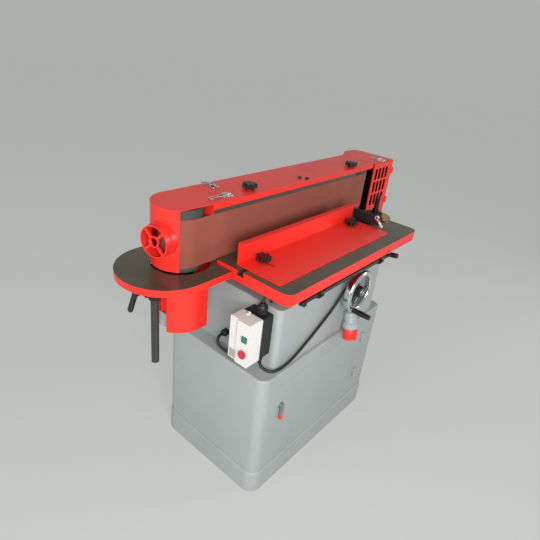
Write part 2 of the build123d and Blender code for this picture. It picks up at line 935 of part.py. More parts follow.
# Fence: one bent sheet, slotted for its two knobs, with a lip folded to the operator
with BuildPart() as edge_fence:
    with BuildSketch(Plane.YZ.offset(fence_left)) as fence_profile:
        with BuildLine():
            Polyline(
                (fence_front, fence_low),
                (fence_rear, fence_low),
                (fence_rear, fence_top),
                (fence_rear - fence_lip, fence_top),
                (fence_rear - fence_lip, fence_top - fence_sheet),
                (fence_rear - fence_sheet, fence_top - fence_sheet),
                (fence_rear - fence_sheet, fence_seat),
                (fence_front, fence_seat),
                close=True)
        make_face()
        fillet(fence_profile.vertices().group_by(Axis.X)[-1], fence_bend)
    extrude(amount=fence_right - fence_left)
    fillet(edge_fence.edges().filter_by(Axis.Z).group_by(Axis.Y)[0], fence_corner)
    with BuildSketch(Plane.XY.offset(fence_low)):
        for knob_x in (fence_knob_left_x, fence_knob_right_x):
            with Locations((knob_x, slot_y - (fence_travel_out - fence_travel_back) / 2)):
                SlotCenterToCenter(
                    fence_travel_out + fence_travel_back + 2 * fence_slot_extra,
                    2 * (stud_radius + gap), rotation=90)
    extrude(amount=fence_sheet, mode=Mode.SUBTRACT)

# T-bolts of the fence, heads in the table's slot
with BuildPart() as fence_t_bolts:
    with BuildSketch(Plane.XY.offset(tee_low + gap)):
        for knob_x in (fence_knob_left_x, fence_knob_right_x):
            with Locations((knob_x, slot_y)):
                Rectangle(tee_head_length, tee_width - 2 * gap)
    extrude(amount=tee_depth - gap)
    with BuildSketch(Plane.XY.offset(tee_top)):
        for knob_x in (fence_knob_left_x, fence_knob_right_x):
            with Locations((knob_x, slot_y)):
                Circle(stud_radius)
    extrude(amount=fence_seat - tee_top + stud_rise)


def star_knob(seat, bore, depth):
    """Lobed knob standing on a plane, bored from below for its stud."""
    with BuildPart() as knob:
        with BuildSketch(seat):
            Circle(knob_neck)
        extrude(amount=knob_neck_height)
        with BuildSketch(seat.offset(knob_neck_height)):
            Circle(knob_radius)
            with PolarLocations(knob_radius, knob_lobes):
                Circle(knob_lobe)
        extrude(amount=knob_head)
        rim = knob.faces().sort_by(Axis(seat.origin, seat.z_dir))[-1].edges()
        chamfer(rim, knob_edge)
        with BuildSketch(seat):
            Circle(bore + run)
        extrude(amount=depth, mode=Mode.SUBTRACT)
    return knob.part


fence_knob_left = star_knob(
    Plane(origin=(fence_knob_left_x, slot_y, fence_seat + gap)), stud_radius, stud_rise)
fence_knob_right = star_knob(
    Plane(origin=(fence_knob_right_x, slot_y, fence_seat + gap)), stud_radius, stud_rise)

# Gauge bar in the T-slot, with the pin that the head turns on
with BuildPart() as gauge_bar:
    with BuildSketch(Plane.XY.offset(tee_top)):
        with Locations(((gauge_bar_left + gauge_bar_right) / 2, slot_y)):
            Rectangle(gauge_bar_right - gauge_bar_left, slot_width - 2 * gap)
    extrude(amount=slot_depth - gap)
    with BuildSketch(Plane.XY.offset(gauge_bar_high)):
        with Locations((gauge_x, slot_y)):
            Circle(gauge_pin_seat)
    extrude(amount=scale_low - gauge_bar_high)
    with BuildSketch(Plane.XY.offset(scale_low)):
        with Locations((gauge_x, slot_y)):
            Circle(gauge_pin)
    extrude(amount=gauge_head_high + gauge_head_thick - scale_low)

# Brass angle scale on the bar
with BuildPart() as gauge_scale:
    with BuildSketch(Plane.XY.offset(scale_low)) as scale_outline:
        with Locations((gauge_x, slot_y)):
            Circle(scale_radius)
            Circle(gauge_pin + run, mode=Mode.SUBTRACT)
        with Locations((gauge_x - scale_cut - scale_radius, slot_y)):
            Rectangle(2 * scale_radius, 2 * scale_radius, mode=Mode.SUBTRACT)
    extrude(amount=scale_thick)

# Gauge head: web from the pin to the upright face, with the lever's stud in front of it
with BuildPart() as gauge_head:
    with BuildSketch(Plane.XY.offset(gauge_head_low)):
        with BuildLine():
            Polyline(
                (face_back_x, slot_y - web_fore),
                (face_back_x, slot_y + web_back),
                (gauge_x, slot_y + gauge_boss),
                (gauge_x + gauge_boss, slot_y),
                (gauge_x, slot_y - gauge_boss),
                close=True)
        make_face()
        with Locations((gauge_x, slot_y)):
            Circle(gauge_boss)
        with Locations((gauge_x, slot_y)):
            Circle(gauge_pin + run, mode=Mode.SUBTRACT)
    extrude(amount=gauge_head_thick)
    with BuildSketch(Plane.XY.offset(face_low)):
        with Locations((face_x + face_thick / 2, slot_y + (face_back - face_fore) / 2)):
            Rectangle(face_thick, face_back + face_fore)
    extrude(amount=face_height)
    with BuildSketch(Plane.YZ.offset(face_x)):
        with Locations((lever_y, lever_z)):
            Circle(lever_pin)
    extrude(amount=-lever_thick - 2 * gap)

# Upright grip that clamps the gauge head
with BuildPart() as gauge_handle:
    with BuildSketch(Plane.XY.offset(gauge_head_high + gap)):
        with Locations((gauge_x, slot_y)):
            Circle(gauge_handle_collar)
    extrude(amount=gauge_head_thick)
    with BuildSketch(Plane.XY.offset(gauge_head_high + gap)):
        with Locations((gauge_x, slot_y)):
            Circle(gauge_handle_radius)
    extrude(amount=gauge_handle_top - gauge_head_high - gap)
    fillet(gauge_handle.faces().sort_by(Axis.Z)[-1].edges(), gauge_handle_radius / 2)
    with BuildSketch(Plane.XY.offset(gauge_head_high + gap)):
        with Locations((gauge_x, slot_y)):
            Circle(gauge_pin + run)
    extrude(amount=gauge_head_thick, mode=Mode.SUBTRACT)

# Bright clamp lever on the gauge face
with BuildPart() as gauge_lever:
    with BuildSketch(Plane.YZ.offset(face_x - gap)):
        with Locations((lever_y, lever_z)):
            Circle(lever_hub)
        with Locations((lever_y + lever_reach_y, lever_z + lever_reach_z)):
            Circle(lever_bar)
        with BuildLine():
            Polyline(
                (lever_y, lever_z + lever_bar),
                (lever_y + lever_reach_y, lever_z + lever_reach_z + lever_bar),
                (lever_y + lever_reach_y, lever_z + lever_reach_z - lever_bar),
                (lever_y, lever_z - lever_bar),
                close=True)
        make_face()
        with Locations((lever_y, lever_z)):
            Circle(lever_pin + run, mode=Mode.SUBTRACT)
    extrude(amount=-lever_thick)

# End table: horseshoe plate round the left drum and its cover
with BuildPart() as end_table:
    with BuildSketch(Plane.XY.offset(end_low)):
        with Locations((end_centre_x, axis_y)):
            Circle(end_radius)
        with Locations(((end_centre_x + end_right) / 2, axis_y)):
            Rectangle(end_right - end_centre_x, 2 * end_radius)
        with Locations((end_right + end_radius, axis_y)):
            Rectangle(2 * end_radius, 2 * end_radius, mode=Mode.SUBTRACT)
        with Locations((left_axis_x, axis_y)):
            Circle(end_cut, mode=Mode.SUBTRACT)
        with Locations(((left_axis_x + end_right) / 2, (belt_face - end_gap_belt + axis_y + end_cut) / 2)):
            Rectangle(
                end_right - left_axis_x, axis_y + end_cut - belt_face + end_gap_belt, mode=Mode.SUBTRACT)
    extrude(amount=end_thick)

# Post under the end table
with BuildPart() as end_table_post:
    with BuildSketch(Plane.XY.offset(post_low)):
        with Locations((post_x, post_y)):
            Circle(post_radius)
    extrude(amount=end_low - post_low)
    with BuildSketch(Plane.XY.offset(end_low - post_flange_thick)):
        with Locations((post_x, post_y)):
            Circle(post_flange)
    extrude(amount=post_flange_thick)

# Split clamp for the post, bolted under the head's base plate
with BuildPart() as post_clamp:
    with BuildSketch(Plane.XY.offset(clamp_low)):
        with Locations((post_x, post_y)):
            Circle(clamp_radius)
    extrude(amount=base_low - clamp_low)
    with BuildSketch(Plane.XY.offset(ear_low)):
        with Locations((post_x, post_y + (ear_from + ear_to) / 2)):
            Rectangle(2 * ear_half, ear_to - ear_from)
    extrude(amount=ear_high - ear_low)
    with BuildSketch(Plane.XY.offset(clamp_low)):
        with Locations((post_x, post_y)):
            Circle(post_radius + run)
        with Locations((post_x, post_y + ear_to / 2)):
            Rectangle(clamp_slit, ear_to)
    extrude(amount=base_low - clamp_low, mode=Mode.SUBTRACT)
    with BuildSketch(Plane.YZ.offset(post_x - ear_half)):
        with Locations((clamp_y, clamp_screw_z)):
            Circle(clamp_screw + run)
    extrude(amount=2 * ear_half, mode=Mode.SUBTRACT)

# Clamp lever: screw through the ears, hub and hanging arm
with BuildPart() as clamp_lever:
    with BuildSketch(Plane.YZ.offset(post_x - ear_half - gap - clamp_hub_length)):
        with Locations((clamp_y, clamp_screw_z)):
            Circle(clamp_hub)
    extrude(amount=clamp_hub_length)
    with BuildSketch(Plane.YZ.offset(post_x - ear_half - gap)):
        with Locations((clamp_y, clamp_screw_z)):
            Circle(clamp_screw)
    extrude(amount=2 * ear_half + 2 * gap)
    with BuildSketch(Plane.YZ.offset(post_x + ear_half + gap)):
        with Locations((clamp_y, clamp_screw_z)):
            RegularPolygon(clamp_nut, 6)
    extrude(amount=clamp_nut_thick)
    with BuildSketch(Plane.YZ.offset(post_x - ear_half - gap - clamp_hub_length)):
        with Locations((clamp_arm_y, clamp_arm_z)):
            RectangleRounded(clamp_arm_width, clamp_arm, clamp_arm_width / 3, rotation=clamp_arm_lean)
    extrude(amount=clamp_arm_thick)

# Head base: plate on a riser, drive bearing, slide rails and tension bracket
with BuildPart() as head_base:
    with BuildSketch(Plane.XY.offset(base_low)):
        with Locations(((base_left + base_right) / 2, (base_front + base_rear) / 2)):
            Rectangle(base_right - base_left, base_rear - base_front)
    extrude(amount=base_thick)
    with BuildSketch(Plane.XY.offset(frame_top)):
        with Locations((0, (riser_front + riser_rear) / 2)):
            Rectangle(riser_length, riser_rear - riser_front)
            Rectangle(
                riser_length - 2 * riser_wall, riser_rear - riser_front - 2 * riser_wall, mode=Mode.SUBTRACT)
    extrude(amount=base_low - frame_top)
    with BuildSketch(Plane.XY.offset(base_top)):
        with Locations((left_axis_x, axis_y)):
            Circle(bearing_radius)
    extrude(amount=bearing_high - base_top)
    with BuildSketch(Plane.XY.offset(base_top)):
        for rail_y in (axis_y - rail_out, axis_y + rail_out):
            with Locations(((rail_left + rail_right) / 2, rail_y)):
                Rectangle(rail_right - rail_left, rail_width)
    extrude(amount=slide_high - base_top)
    with BuildSketch(Plane.YZ.offset(tension_bracket_x)):
        with Locations((axis_y, (base_top + tension_bracket_high) / 2)):
            Rectangle(2 * tension_bracket_half, tension_bracket_high - base_top)
        with Locations((axis_y, tension_z)):
            Circle(tension_screw + run, mode=Mode.SUBTRACT)
    extrude(amount=tension_bracket_thick)
    with BuildSketch(Plane.XY.offset(base_low)):
        with Locations((left_axis_x, axis_y)):
            Circle(spindle_radius + run)
        with Locations((post_x, post_y)):
            Circle(post_radius + gap)
    extrude(amount=bearing_high - base_low, mode=Mode.SUBTRACT)

# Head beam: box tube inside the belt with the posts and studs of the top cover
with BuildPart() as head_beam:
    with BuildSketch(Plane.YZ.offset(beam_left)):
        with Locations(((beam_front + beam_rear) / 2, (base_top + beam_high) / 2)):
            Rectangle(beam_rear - beam_front, beam_high - base_top)
            Rectangle(
                beam_rear - beam_front - 2 * beam_wall,
                beam_high - base_top - 2 * beam_wall, mode=Mode.SUBTRACT)
    extrude(amount=beam_right - beam_left)
    with BuildSketch(Plane.XY.offset(beam_high)):
        with Locations(*cover_studs):
            Circle(cover_post)
    extrude(amount=cover_under - beam_high)
    with BuildSketch(Plane.XY.offset(cover_under)):
        with Locations(*cover_studs):
            Circle(stud_radius)
    extrude(amount=cover_sheet + stud_rise)

# Platen bolted to the front of the beam
with BuildPart() as platen:
    with BuildSketch(Plane.XZ.offset(-platen_front)):
        with Locations(((platen_left + platen_right) / 2, (platen_low + platen_high) / 2)):
            Rectangle(platen_right - platen_left, platen_high - platen_low)
    extrude(amount=-platen_thick)

# Endless belt round both drums
with BuildPart() as sanding_belt:
    with BuildSketch(Plane.XY.offset(belt_low)):
        with Locations((belt_mid_x, axis_y)):
            SlotCenterToCenter(drum_centres, 2 * belt_outer)
            SlotCenterToCenter(drum_centres, 2 * belt_inner, mode=Mode.SUBTRACT)
    extrude(amount=belt_width)


def drum(section, axis, bore):
    """Drum turned about an upright axis: rim, one web and a long hub."""
    with BuildPart() as body:
        with BuildSketch(section):
            with BuildLine():
                Polyline(
                    (bore, drum_low),
                    (drum_hub, drum_low),
                    (drum_hub, drum_mid - drum_web / 2),
                    (drum_radius - drum_wall, drum_mid - drum_web / 2),
                    (drum_radius - drum_wall, drum_low),
                    (drum_radius, drum_low),
                    (drum_radius, drum_high),
                    (drum_radius - drum_wall, drum_high),
                    (drum_radius - drum_wall, drum_mid + drum_web / 2),
                    (drum_hub, drum_mid + drum_web / 2),
                    (drum_hub, drum_hub_high),
                    (bore, drum_hub_high),
                    close=True)
            make_face()
        revolve(axis=axis)
    return body.part


drive_drum = drum(left_section, left_axis, spindle_radius + run)
idler_drum = drum(right_section, right_axis, axle_radius + run)

# Drive spindle: the motor's long shaft, with the drum's nut on top
with BuildPart() as drive_spindle:
    with BuildSketch(Plane.XY.offset(spindle_low)):
        with Locations((left_axis_x, axis_y)):
            Circle(spindle_radius)
    extrude(amount=drum_hub_high + spindle_nut_thick - spindle_low)
    with BuildSketch(Plane.XY.offset(drum_hub_high)):
        with Locations((left_axis_x, axis_y)):
            RegularPolygon(spindle_nut, 6)
    extrude(amount=spindle_nut_thick)

# Tension slide that carries the idler's axle
with BuildPart() as tension_slide:
    with BuildSketch(Plane.XY.offset(slide_low)):
        with Locations(((slide_left + slide_right) / 2, axis_y)):
            Rectangle(slide_right - slide_left, 2 * slide_half)
    extrude(amount=slide_thick)
    with BuildSketch(Plane.XY.offset(slide_high)):
        with Locations((right_axis_x, axis_y)):
            Circle(axle_radius)
    extrude(amount=drum_hub_high - slide_high + axle_low_gap)
    with BuildSketch(Plane.XY.offset(slide_high)):
        with Locations((right_axis_x, axis_y)):
            Circle(drum_hub)
    extrude(amount=drum_low - gap - slide_high)
    with BuildSketch(Plane.YZ.offset(tension_screw_left - tension_travel)):
        with Locations((axis_y, tension_z)):
            Circle(tension_screw + run)
    extrude(amount=slide_right - tension_screw_left + tension_travel, mode=Mode.SUBTRACT)

# Tension screw with its star knob outside the right cover
tension_seat = Plane(
    origin=(right_right + knob_stand_off, axis_y, tension_z), x_dir=(0, 1, 0), z_dir=(1, 0, 0))
tension_head = star_knob(tension_seat, tension_screw - run, knob_neck_height)
with BuildPart() as tension_knob:
    add(tension_head)
    with BuildSketch(Plane.YZ.offset(tension_screw_left)):
        with Locations((axis_y, tension_z)):
            Circle(tension_screw)
    extrude(amount=right_right + knob_stand_off + knob_neck_height - tension_screw_left)

# Motor hung under the base plate
with BuildPart() as motor_body:
    with BuildSketch(Plane.XY.offset(motor_low)):
        with Locations((left_axis_x, axis_y)):
            Circle(motor_radius)
            with PolarLocations(motor_radius, motor_fins):
                Rectangle(2 * motor_fin, motor_fin_width)
    extrude(amount=base_low - motor_flange - motor_low)
    with BuildSketch(Plane.XY.offset(base_low - motor_flange)):
        with Locations((left_axis_x, axis_y)):
            Circle(motor_flange_radius)
    extrude(amount=motor_flange)
    with BuildSketch(Plane.XY.offset(motor_low)):
        with Locations((left_axis_x, axis_y)):
            Circle(spindle_radius + run)
    extrude(amount=base_low - motor_low, mode=Mode.SUBTRACT)

# Fan cover on the motor's lower end
with BuildPart() as motor_fan_cover:
    with BuildSketch(Plane.XY.offset(fan_cover_low)):
        with Locations((left_axis_x, axis_y)):
            Circle(fan_cover_radius)
    extrude(amount=motor_low - fan_cover_low)
    with BuildSketch(Plane.XY.offset(fan_cover_low + fan_cover_wall)):
        with Locations((left_axis_x, axis_y)):
            Circle(fan_cover_radius - fan_cover_wall)
    extrude(amount=motor_low - fan_cover_low - fan_cover_wall, mode=Mode.SUBTRACT)
    with BuildSketch(Plane.XY.offset(fan_cover_low)):
        with Locations((left_axis_x, axis_y)):
            with PolarLocations(fan_ring, fan_holes):
                Circle(fan_hole)
    extrude(amount=fan_cover_wall, mode=Mode.SUBTRACT)

# Guard round the motor: a front and a rear sheet, rolled round the axis on the left and straight on the right,
# with a gap between them on the left for the clamp and open towards the stand
with BuildPart() as motor_guard:
    with BuildSketch(Plane.XY.offset(guard_low)):
        with Locations((left_axis_x, axis_y)):
            Circle(guard_radius)
        with Locations((left_axis_x + guard_straight / 2, axis_y)):
            Rectangle(guard_straight, 2 * guard_radius)
        with Locations((left_axis_x, axis_y)):
            Circle(guard_radius - guard_sheet, mode=Mode.SUBTRACT)
        with Locations((left_axis_x + guard_radius / 2, axis_y)):
            Rectangle(guard_radius, 2 * (guard_radius - guard_sheet), mode=Mode.SUBTRACT)
        with BuildLine():
            Polyline(
                (left_axis_x, axis_y),
                (left_axis_x + 2 * guard_radius * cos(radians(guard_open_from)),
                 axis_y + 2 * guard_radius * sin(radians(guard_open_from))),
                (left_axis_x + 2 * guard_radius * cos(radians(guard_open_to)),
                 axis_y + 2 * guard_radius * sin(radians(guard_open_to))),
                close=True)
        make_face(mode=Mode.SUBTRACT)
    extrude(amount=base_low - guard_low)

# Top cover, held by two star knobs; its front flange runs on under the left cover to a turned-in tab,
# which passes over the belt's upper edge and dips behind it
with BuildPart() as top_cover:
    with BuildSketch(Plane.XY.offset(cover_under)):
        with Locations((cover_mid, (cover_front + cover_rear) / 2)):
            Rectangle(cover_length, cover_rear - cover_front)
        with Locations(*cover_studs):
            Circle(stud_radius + gap, mode=Mode.SUBTRACT)
        for bolt_x, bolt_y in ((bolt_one_x, bolt_one_y), (bolt_two_x, bolt_two_y)):
            with Locations((bolt_x, bolt_y)):
                Circle(bolt_shank + run, mode=Mode.SUBTRACT)
    extrude(amount=cover_sheet)
    with BuildSketch(Plane.XY.offset(cover_flange_low)):
        with Locations((cover_mid, cover_front + cover_sheet / 2)):
            Rectangle(cover_length, cover_sheet)
    extrude(amount=cover_under - cover_flange_low)
    with BuildSketch(Plane.XY.offset(cover_flange_low)):
        with Locations(((flange_left + top_cover_left) / 2, cover_front + cover_sheet / 2)):
            Rectangle(top_cover_left - flange_left, cover_sheet)
    extrude(amount=flange_high - cover_flange_low)
    with BuildSketch(Plane.XY.offset(belt_high + tab_clear)):
        with Locations((flange_left + cover_sheet / 2, (cover_front + tab_rear) / 2)):
            Rectangle(cover_sheet, tab_depth)
    extrude(amount=flange_high - belt_high - tab_clear)
    with BuildSketch(Plane.XY.offset(belt_high - tab_dip)):
        with Locations((flange_left + cover_sheet / 2, (tab_front + tab_rear) / 2)):
            Rectangle(cover_sheet, tab_rear - tab_front)
    extrude(amount=tab_dip + tab_clear)
    with BuildSketch(Plane.XY.offset(cover_rear_low)):
        with Locations((cover_mid, cover_rear - cover_sheet / 2)):
            Rectangle(cover_length, cover_sheet)
    extrude(amount=cover_under - cover_rear_low)

top_knob_left = star_knob(
    Plane(origin=(cover_stud_left, cover_stud_left_y, cover_top + gap)), stud_radius, stud_rise)
top_knob_right = star_knob(
    Plane(origin=(cover_stud_right, cover_stud_right_y, cover_top + gap)), stud_radius, stud_rise)

# Two bolts through the top cover, one into the beam and one into the platen
with BuildPart() as cover_bolts:
    for bolt_x, bolt_y, bolt_low in (
            (bolt_one_x, bolt_one_y, beam_high), (bolt_two_x, bolt_two_y, platen_high)):
        with BuildSketch(Plane.XY.offset(cover_top)):
            with Locations((bolt_x, bolt_y)):
                RegularPolygon(bolt_head, 6)
        extrude(amount=bolt_head_thick)
        with BuildSketch(Plane.XY.offset(bolt_low)):
            with Locations((bolt_x, bolt_y)):
                Circle(bolt_shank)
        extrude(amount=cover_top - bolt_low)

# Rear guard behind the belt, with the pins that the left cover swings on
with BuildPart() as rear_guard:
    with BuildSketch(Plane.XY.offset(base_top)):
        with Locations((cover_mid, base_rear - cover_sheet / 2)):
            Rectangle(cover_length, cover_sheet)
    extrude(amount=cover_under - gap - base_top)
    with BuildSketch(Plane.XY.offset(base_top)):
        with Locations((cover_mid, base_rear - guard_foot / 2)):
            Rectangle(cover_length, guard_foot)
    extrude(amount=cover_sheet)
    for hinge_z in cover_hinges:
        with BuildSketch(Plane.XY.offset(hinge_z - cover_knuckle)):
            with Locations((seam_x, cover_hinge_y)):
                Circle(knuckle_radius)
            with Locations((seam_x + seam_gap + knuckle_radius, (cover_hinge_y + base_rear) / 2)):
                Rectangle(2 * knuckle_radius, cover_hinge_y - base_rear)
        extrude(amount=cover_knuckle)
        with BuildSketch(Plane.XY.offset(hinge_z)):
            with Locations((seam_x, cover_hinge_y)):
                Circle(pin_radius)
        extrude(amount=cover_knuckle)

# Left end cover: round cap over the drum, open to the operator, with its hinge knuckles
with BuildPart() as left_end_cover:
    cap_right = seam_x - seam_gap
    with BuildSketch(Plane.XY.offset(cap_low)):
        with Locations((left_axis_x, axis_y)):
            Circle(cap_radius)
        with Locations(((left_axis_x + cap_right) / 2, axis_y)):
            Rectangle(cap_right - left_axis_x, 2 * cap_radius)
        with BuildLine():
            Polyline(
                (left_axis_x - 2 * cap_radius, cap_mouth),
                (left_axis_x - cap_reach, cap_mouth),
                (flange_left, cover_front),
                (seam_x, cover_front),
                (seam_x, cover_front - cap_radius),
                (left_axis_x - 2 * cap_radius, cover_front - cap_radius),
                close=True)
        make_face(mode=Mode.SUBTRACT)
    extrude(amount=cover_top - cap_low)
    with BuildSketch(Plane.XY.offset(cap_low)):
        with Locations((left_axis_x, axis_y)):
            Circle(cap_radius - cover_sheet)
        with Locations(((left_axis_x + cap_right) / 2, axis_y)):
            Rectangle(cap_right - left_axis_x, 2 * (cap_radius - cover_sheet))
    extrude(amount=cover_under - cap_low, mode=Mode.SUBTRACT)
    with BuildSketch(port_plane):
        Circle(port_radius - port_wall)
    extrude(amount=2 * cap_radius, mode=Mode.SUBTRACT)
    for hinge_z in cover_hinges:
        with BuildSketch(Plane.XY.offset(hinge_z + gap)):
            with Locations((seam_x, cover_hinge_y)):
                Circle(knuckle_radius)
            with Locations((seam_x - seam_gap - knuckle_radius, (cover_hinge_y + cover_rear) / 2)):
                Rectangle(2 * knuckle_radius, cover_hinge_y - cover_rear)
            with Locations((seam_x, cover_hinge_y)):
                Circle(pin_radius + run, mode=Mode.SUBTRACT)
        extrude(amount=cover_knuckle - gap)

# Dust port: collar and spigot square to the round cap, with a spoked grid at the mouth
with BuildPart() as dust_port:
    with BuildSketch(port_plane):
        Circle(port_collar)
    extrude(amount=port_collar_out)
    with BuildSketch(port_plane):
        Circle(port_radius)
    extrude(amount=port_out)
    with BuildSketch(port_plane):
        Circle(port_radius - port_wall)
    extrude(amount=port_out, mode=Mode.SUBTRACT)
    with BuildSketch(port_plane.offset(port_out - port_grid)):
        Circle(port_core)
        Circle(port_core - port_core_wall, mode=Mode.SUBTRACT)
        spoke_ring = (port_radius + port_core - port_wall) / 2
        with PolarLocations(spoke_ring, port_spokes, start_angle=port_spoke_turn):
            Rectangle(port_radius - port_core, port_spoke)
    extrude(amount=port_grid)
    with BuildSketch(Plane.XY.offset(cap_low)):
        with Locations((left_axis_x, axis_y)):
            Circle(cap_radius)
    extrude(amount=cover_top - cap_low, mode=Mode.SUBTRACT)

# Right end cover: box that widens to the rear, with a round rear corner, open to the left and at the front
with BuildPart() as right_end_cover:
    with BuildSketch(Plane.XY.offset(right_low)) as right_outline:
        with BuildLine():
            Polyline(
                (right_left, right_front),
                (right_right, right_front),
                (right_right, right_rear),
                (right_left + right_slope, right_rear),
                (right_left, cover_rear),
                close=True)
        make_face()
        fillet(right_outline.vertices().group_by(Axis.X)[-1].sort_by(Axis.Y)[-1:], right_corner)
    extrude(amount=cover_top - right_low)
    with BuildSketch(Plane.XY.offset(right_low)):
        add(right_outline.sketch)
        offset(amount=-cover_sheet, kind=Kind.INTERSECTION, mode=Mode.REPLACE)
    extrude(amount=cover_under - right_low, mode=Mode.SUBTRACT)
    with BuildSketch(Plane.XZ.offset(-right_front)):
        with Locations((right_mid, (right_low + cover_under - right_post) / 2)):
            Rectangle(right_right - right_left - 2 * right_post, cover_under - right_post - right_low)
    extrude(amount=-cover_sheet, mode=Mode.SUBTRACT)
    with BuildSketch(Plane.YZ.offset(right_left)):
        with Locations(((right_front + right_post + base_rear) / 2, (right_low + cover_under) / 2)):
            Rectangle(base_rear - right_front - right_post, cover_under - right_low)
    extrude(amount=cover_sheet, mode=Mode.SUBTRACT)
    with BuildSketch(Plane.YZ.offset(right_right - cover_sheet)):
        with Locations((axis_y, tension_z)):
            Circle(tension_screw + gap)
    extrude(amount=cover_sheet, mode=Mode.SUBTRACT)
    for hinge_z in grille_hinges:
        with BuildSketch(Plane.XY.offset(hinge_z - grille_knuckle)):
            with Locations((grille_hinge_x, grille_hinge_y)):
                Circle(knuckle_radius)
            with Locations((right_right + grille_hinge_out, grille_hinge_y + grille_hinge_strap / 2)):
                Rectangle(2 * grille_hinge_out, grille_hinge_strap)
        extrude(amount=grille_knuckle)
        with BuildSketch(Plane.XY.offset(hinge_z)):
            with Locations((grille_hinge_x, grille_hinge_y)):
                Circle(pin_radius)
        extrude(amount=grille_knuckle)

# Grille door on the front of the right cover
with BuildPart() as grille_door:
    with BuildSketch(Plane.XZ.offset(-grille_back)):
        with Locations((right_mid, (right_low + cover_under) / 2)):
            Rectangle(right_right - right_left - 2 * seam_gap, cover_under - right_low)
        with Locations((right_left + grille_slot_from, cover_top - grille_slot_drop)):
            with GridLocations(slot_pitch_x, slot_pitch_z, slot_columns, slot_rows):
                RectangleRounded(
                    grille_slot_width, grille_slot_height, grille_slot_corner, mode=Mode.SUBTRACT)
    extrude(amount=grille_sheet)
    for hinge_z in grille_hinges:
        with BuildSketch(Plane.XY.offset(hinge_z + gap)):
            with Locations((grille_hinge_x, grille_hinge_y)):
                Circle(knuckle_radius)
            with Locations((right_right - grille_hinge_out, grille_back - 3 * grille_sheet / 2)):
                Rectangle(4 * grille_hinge_out, grille_sheet)
            with Locations((grille_hinge_x, grille_hinge_y)):
                Circle(pin_radius + run, mode=Mode.SUBTRACT)
        extrude(amount=grille_knuckle - gap)


def draw_latch(frame, base, reach):
    """Toggle latch on a plane: base plate, raised lever and a wire loop that reaches past the base."""
    with BuildPart() as latch:
        with BuildSketch(frame):
            with Locations((base / 2, 0)):
                RectangleRounded(base, latch_width, latch_edge)
        extrude(amount=latch_base_thick)
        with BuildSketch(frame.offset(latch_base_thick)):
            with Locations((base / 2, 0)):
                RectangleRounded(base - 2 * latch_inset, latch_width - 2 * latch_inset, latch_edge)
        extrude(amount=latch_lever)
        with BuildSketch(frame.offset(latch_base_thick)):
            for side in (1, -1):
                with Locations(((base / 2 - reach) / 2, side * latch_width / 4)):
                    Rectangle(base / 2 + reach, 2 * latch_rod)
            with Locations((latch_rod - reach, 0)):
                Rectangle(2 * latch_rod, latch_width / 2 + 2 * latch_rod)
        extrude(amount=2 * latch_rod)
    return latch.part


seam_latch = draw_latch(
    Plane(origin=(seam_x + seam_gap, seam_latch_y, cover_top)), seam_latch_base, seam_latch_reach)
rear_latch = draw_latch(
    Plane(origin=(seam_x + rear_latch_from, cover_rear, cover_top), x_dir=(0, -1, 0), z_dir=(0, 0, 1)),
    rear_latch_base, rear_latch_reach)
grille_latch = draw_latch(
    Plane(origin=(right_left + grille_latch_from, grille_latch_front, cover_top),
          x_dir=(0, 1, 0), z_dir=(0, 0, 1)),
    grille_latch_base, grille_latch_front - right_front)
cover_latches = Compound(children=[seam_latch, rear_latch, grille_latch])

# Switch base on the left side of the upper frame
with BuildPart() as switch_base:
    with BuildSketch(Plane.YZ.offset(switch_x)):
        with Locations(((switch_front + switch_rear) / 2, (switch_low + switch_high) / 2)):
            RectangleRounded(switch_rear - switch_front, switch_height, switch_edge)
    extrude(amount=switch_base_thick)

# Switch cover: shell with a raised strip for the two buttons
with BuildPart() as switch_cover:
    with BuildSketch(Plane.YZ.offset(box_face)):
        with Locations(((box_front + box_rear) / 2, (box_low + box_high) / 2)):
            RectangleRounded(box_rear - box_front, box_height, switch_edge)
    extrude(amount=box_deep)
    with BuildSketch(Plane.YZ.offset(step_face)):
        with Locations((box_front + step_width / 2, (box_low + box_high) / 2)):
            RectangleRounded(step_width, box_height, switch_edge)
    extrude(amount=step_rise)
    with BuildSketch(Plane.YZ.offset(box_face + box_wall)):
        with Locations(((box_front + box_rear) / 2, (box_low + box_high) / 2)):
            Rectangle(box_rear - box_front - 2 * box_wall, box_height - 2 * box_wall)
    extrude(amount=box_deep - box_wall, mode=Mode.SUBTRACT)
    with BuildSketch(Plane.YZ.offset(step_face)):
        with Locations((button_y, on_z)):
            Rectangle(on_size + 2 * gap, on_size + 2 * gap)
        with Locations((button_y, off_z)):
            Circle(off_stem + gap)
    extrude(amount=step_rise + box_wall, mode=Mode.SUBTRACT)

# Start button
with BuildPart() as on_button:
    with BuildSketch(Plane.YZ.offset(step_face - on_stand)):
        with Locations((button_y, on_z)):
            Rectangle(on_size, on_size)
    extrude(amount=button_length)

# Stop button with an eight-sided head
with BuildPart() as off_button:
    with BuildSketch(Plane.YZ.offset(step_face - off_stand - off_head)):
        with Locations((button_y, off_z)):
            RegularPolygon(off_size, 8)
    extrude(amount=off_head)
    with BuildSketch(Plane.YZ.offset(step_face - off_stand)):
        with Locations((button_y, off_z)):
            Circle(off_stem)
    extrude(amount=button_length)

# Cable glands: under the switch base for the mains cord, on its top, and on the frame's side
with BuildPart() as cable_glands:
    with BuildSketch(Plane.XY.offset(switch_low)):
        with Locations((mains_gland_x, mains_gland_y)):
            Circle(gland_radius)
    extrude(amount=-mains_gland_length)
    with BuildSketch(Plane.XY.offset(switch_high)):
        with Locations((top_gland_x, top_gland_y)):
            Circle(top_gland_radius)
    extrude(amount=top_gland_length)
    with BuildSketch(Plane.YZ.offset(frame_left)):
        with Locations((rear_gland_y, rear_gland_z)):
            Circle(rear_gland_radius)
    extrude(amount=-rear_gland_length)


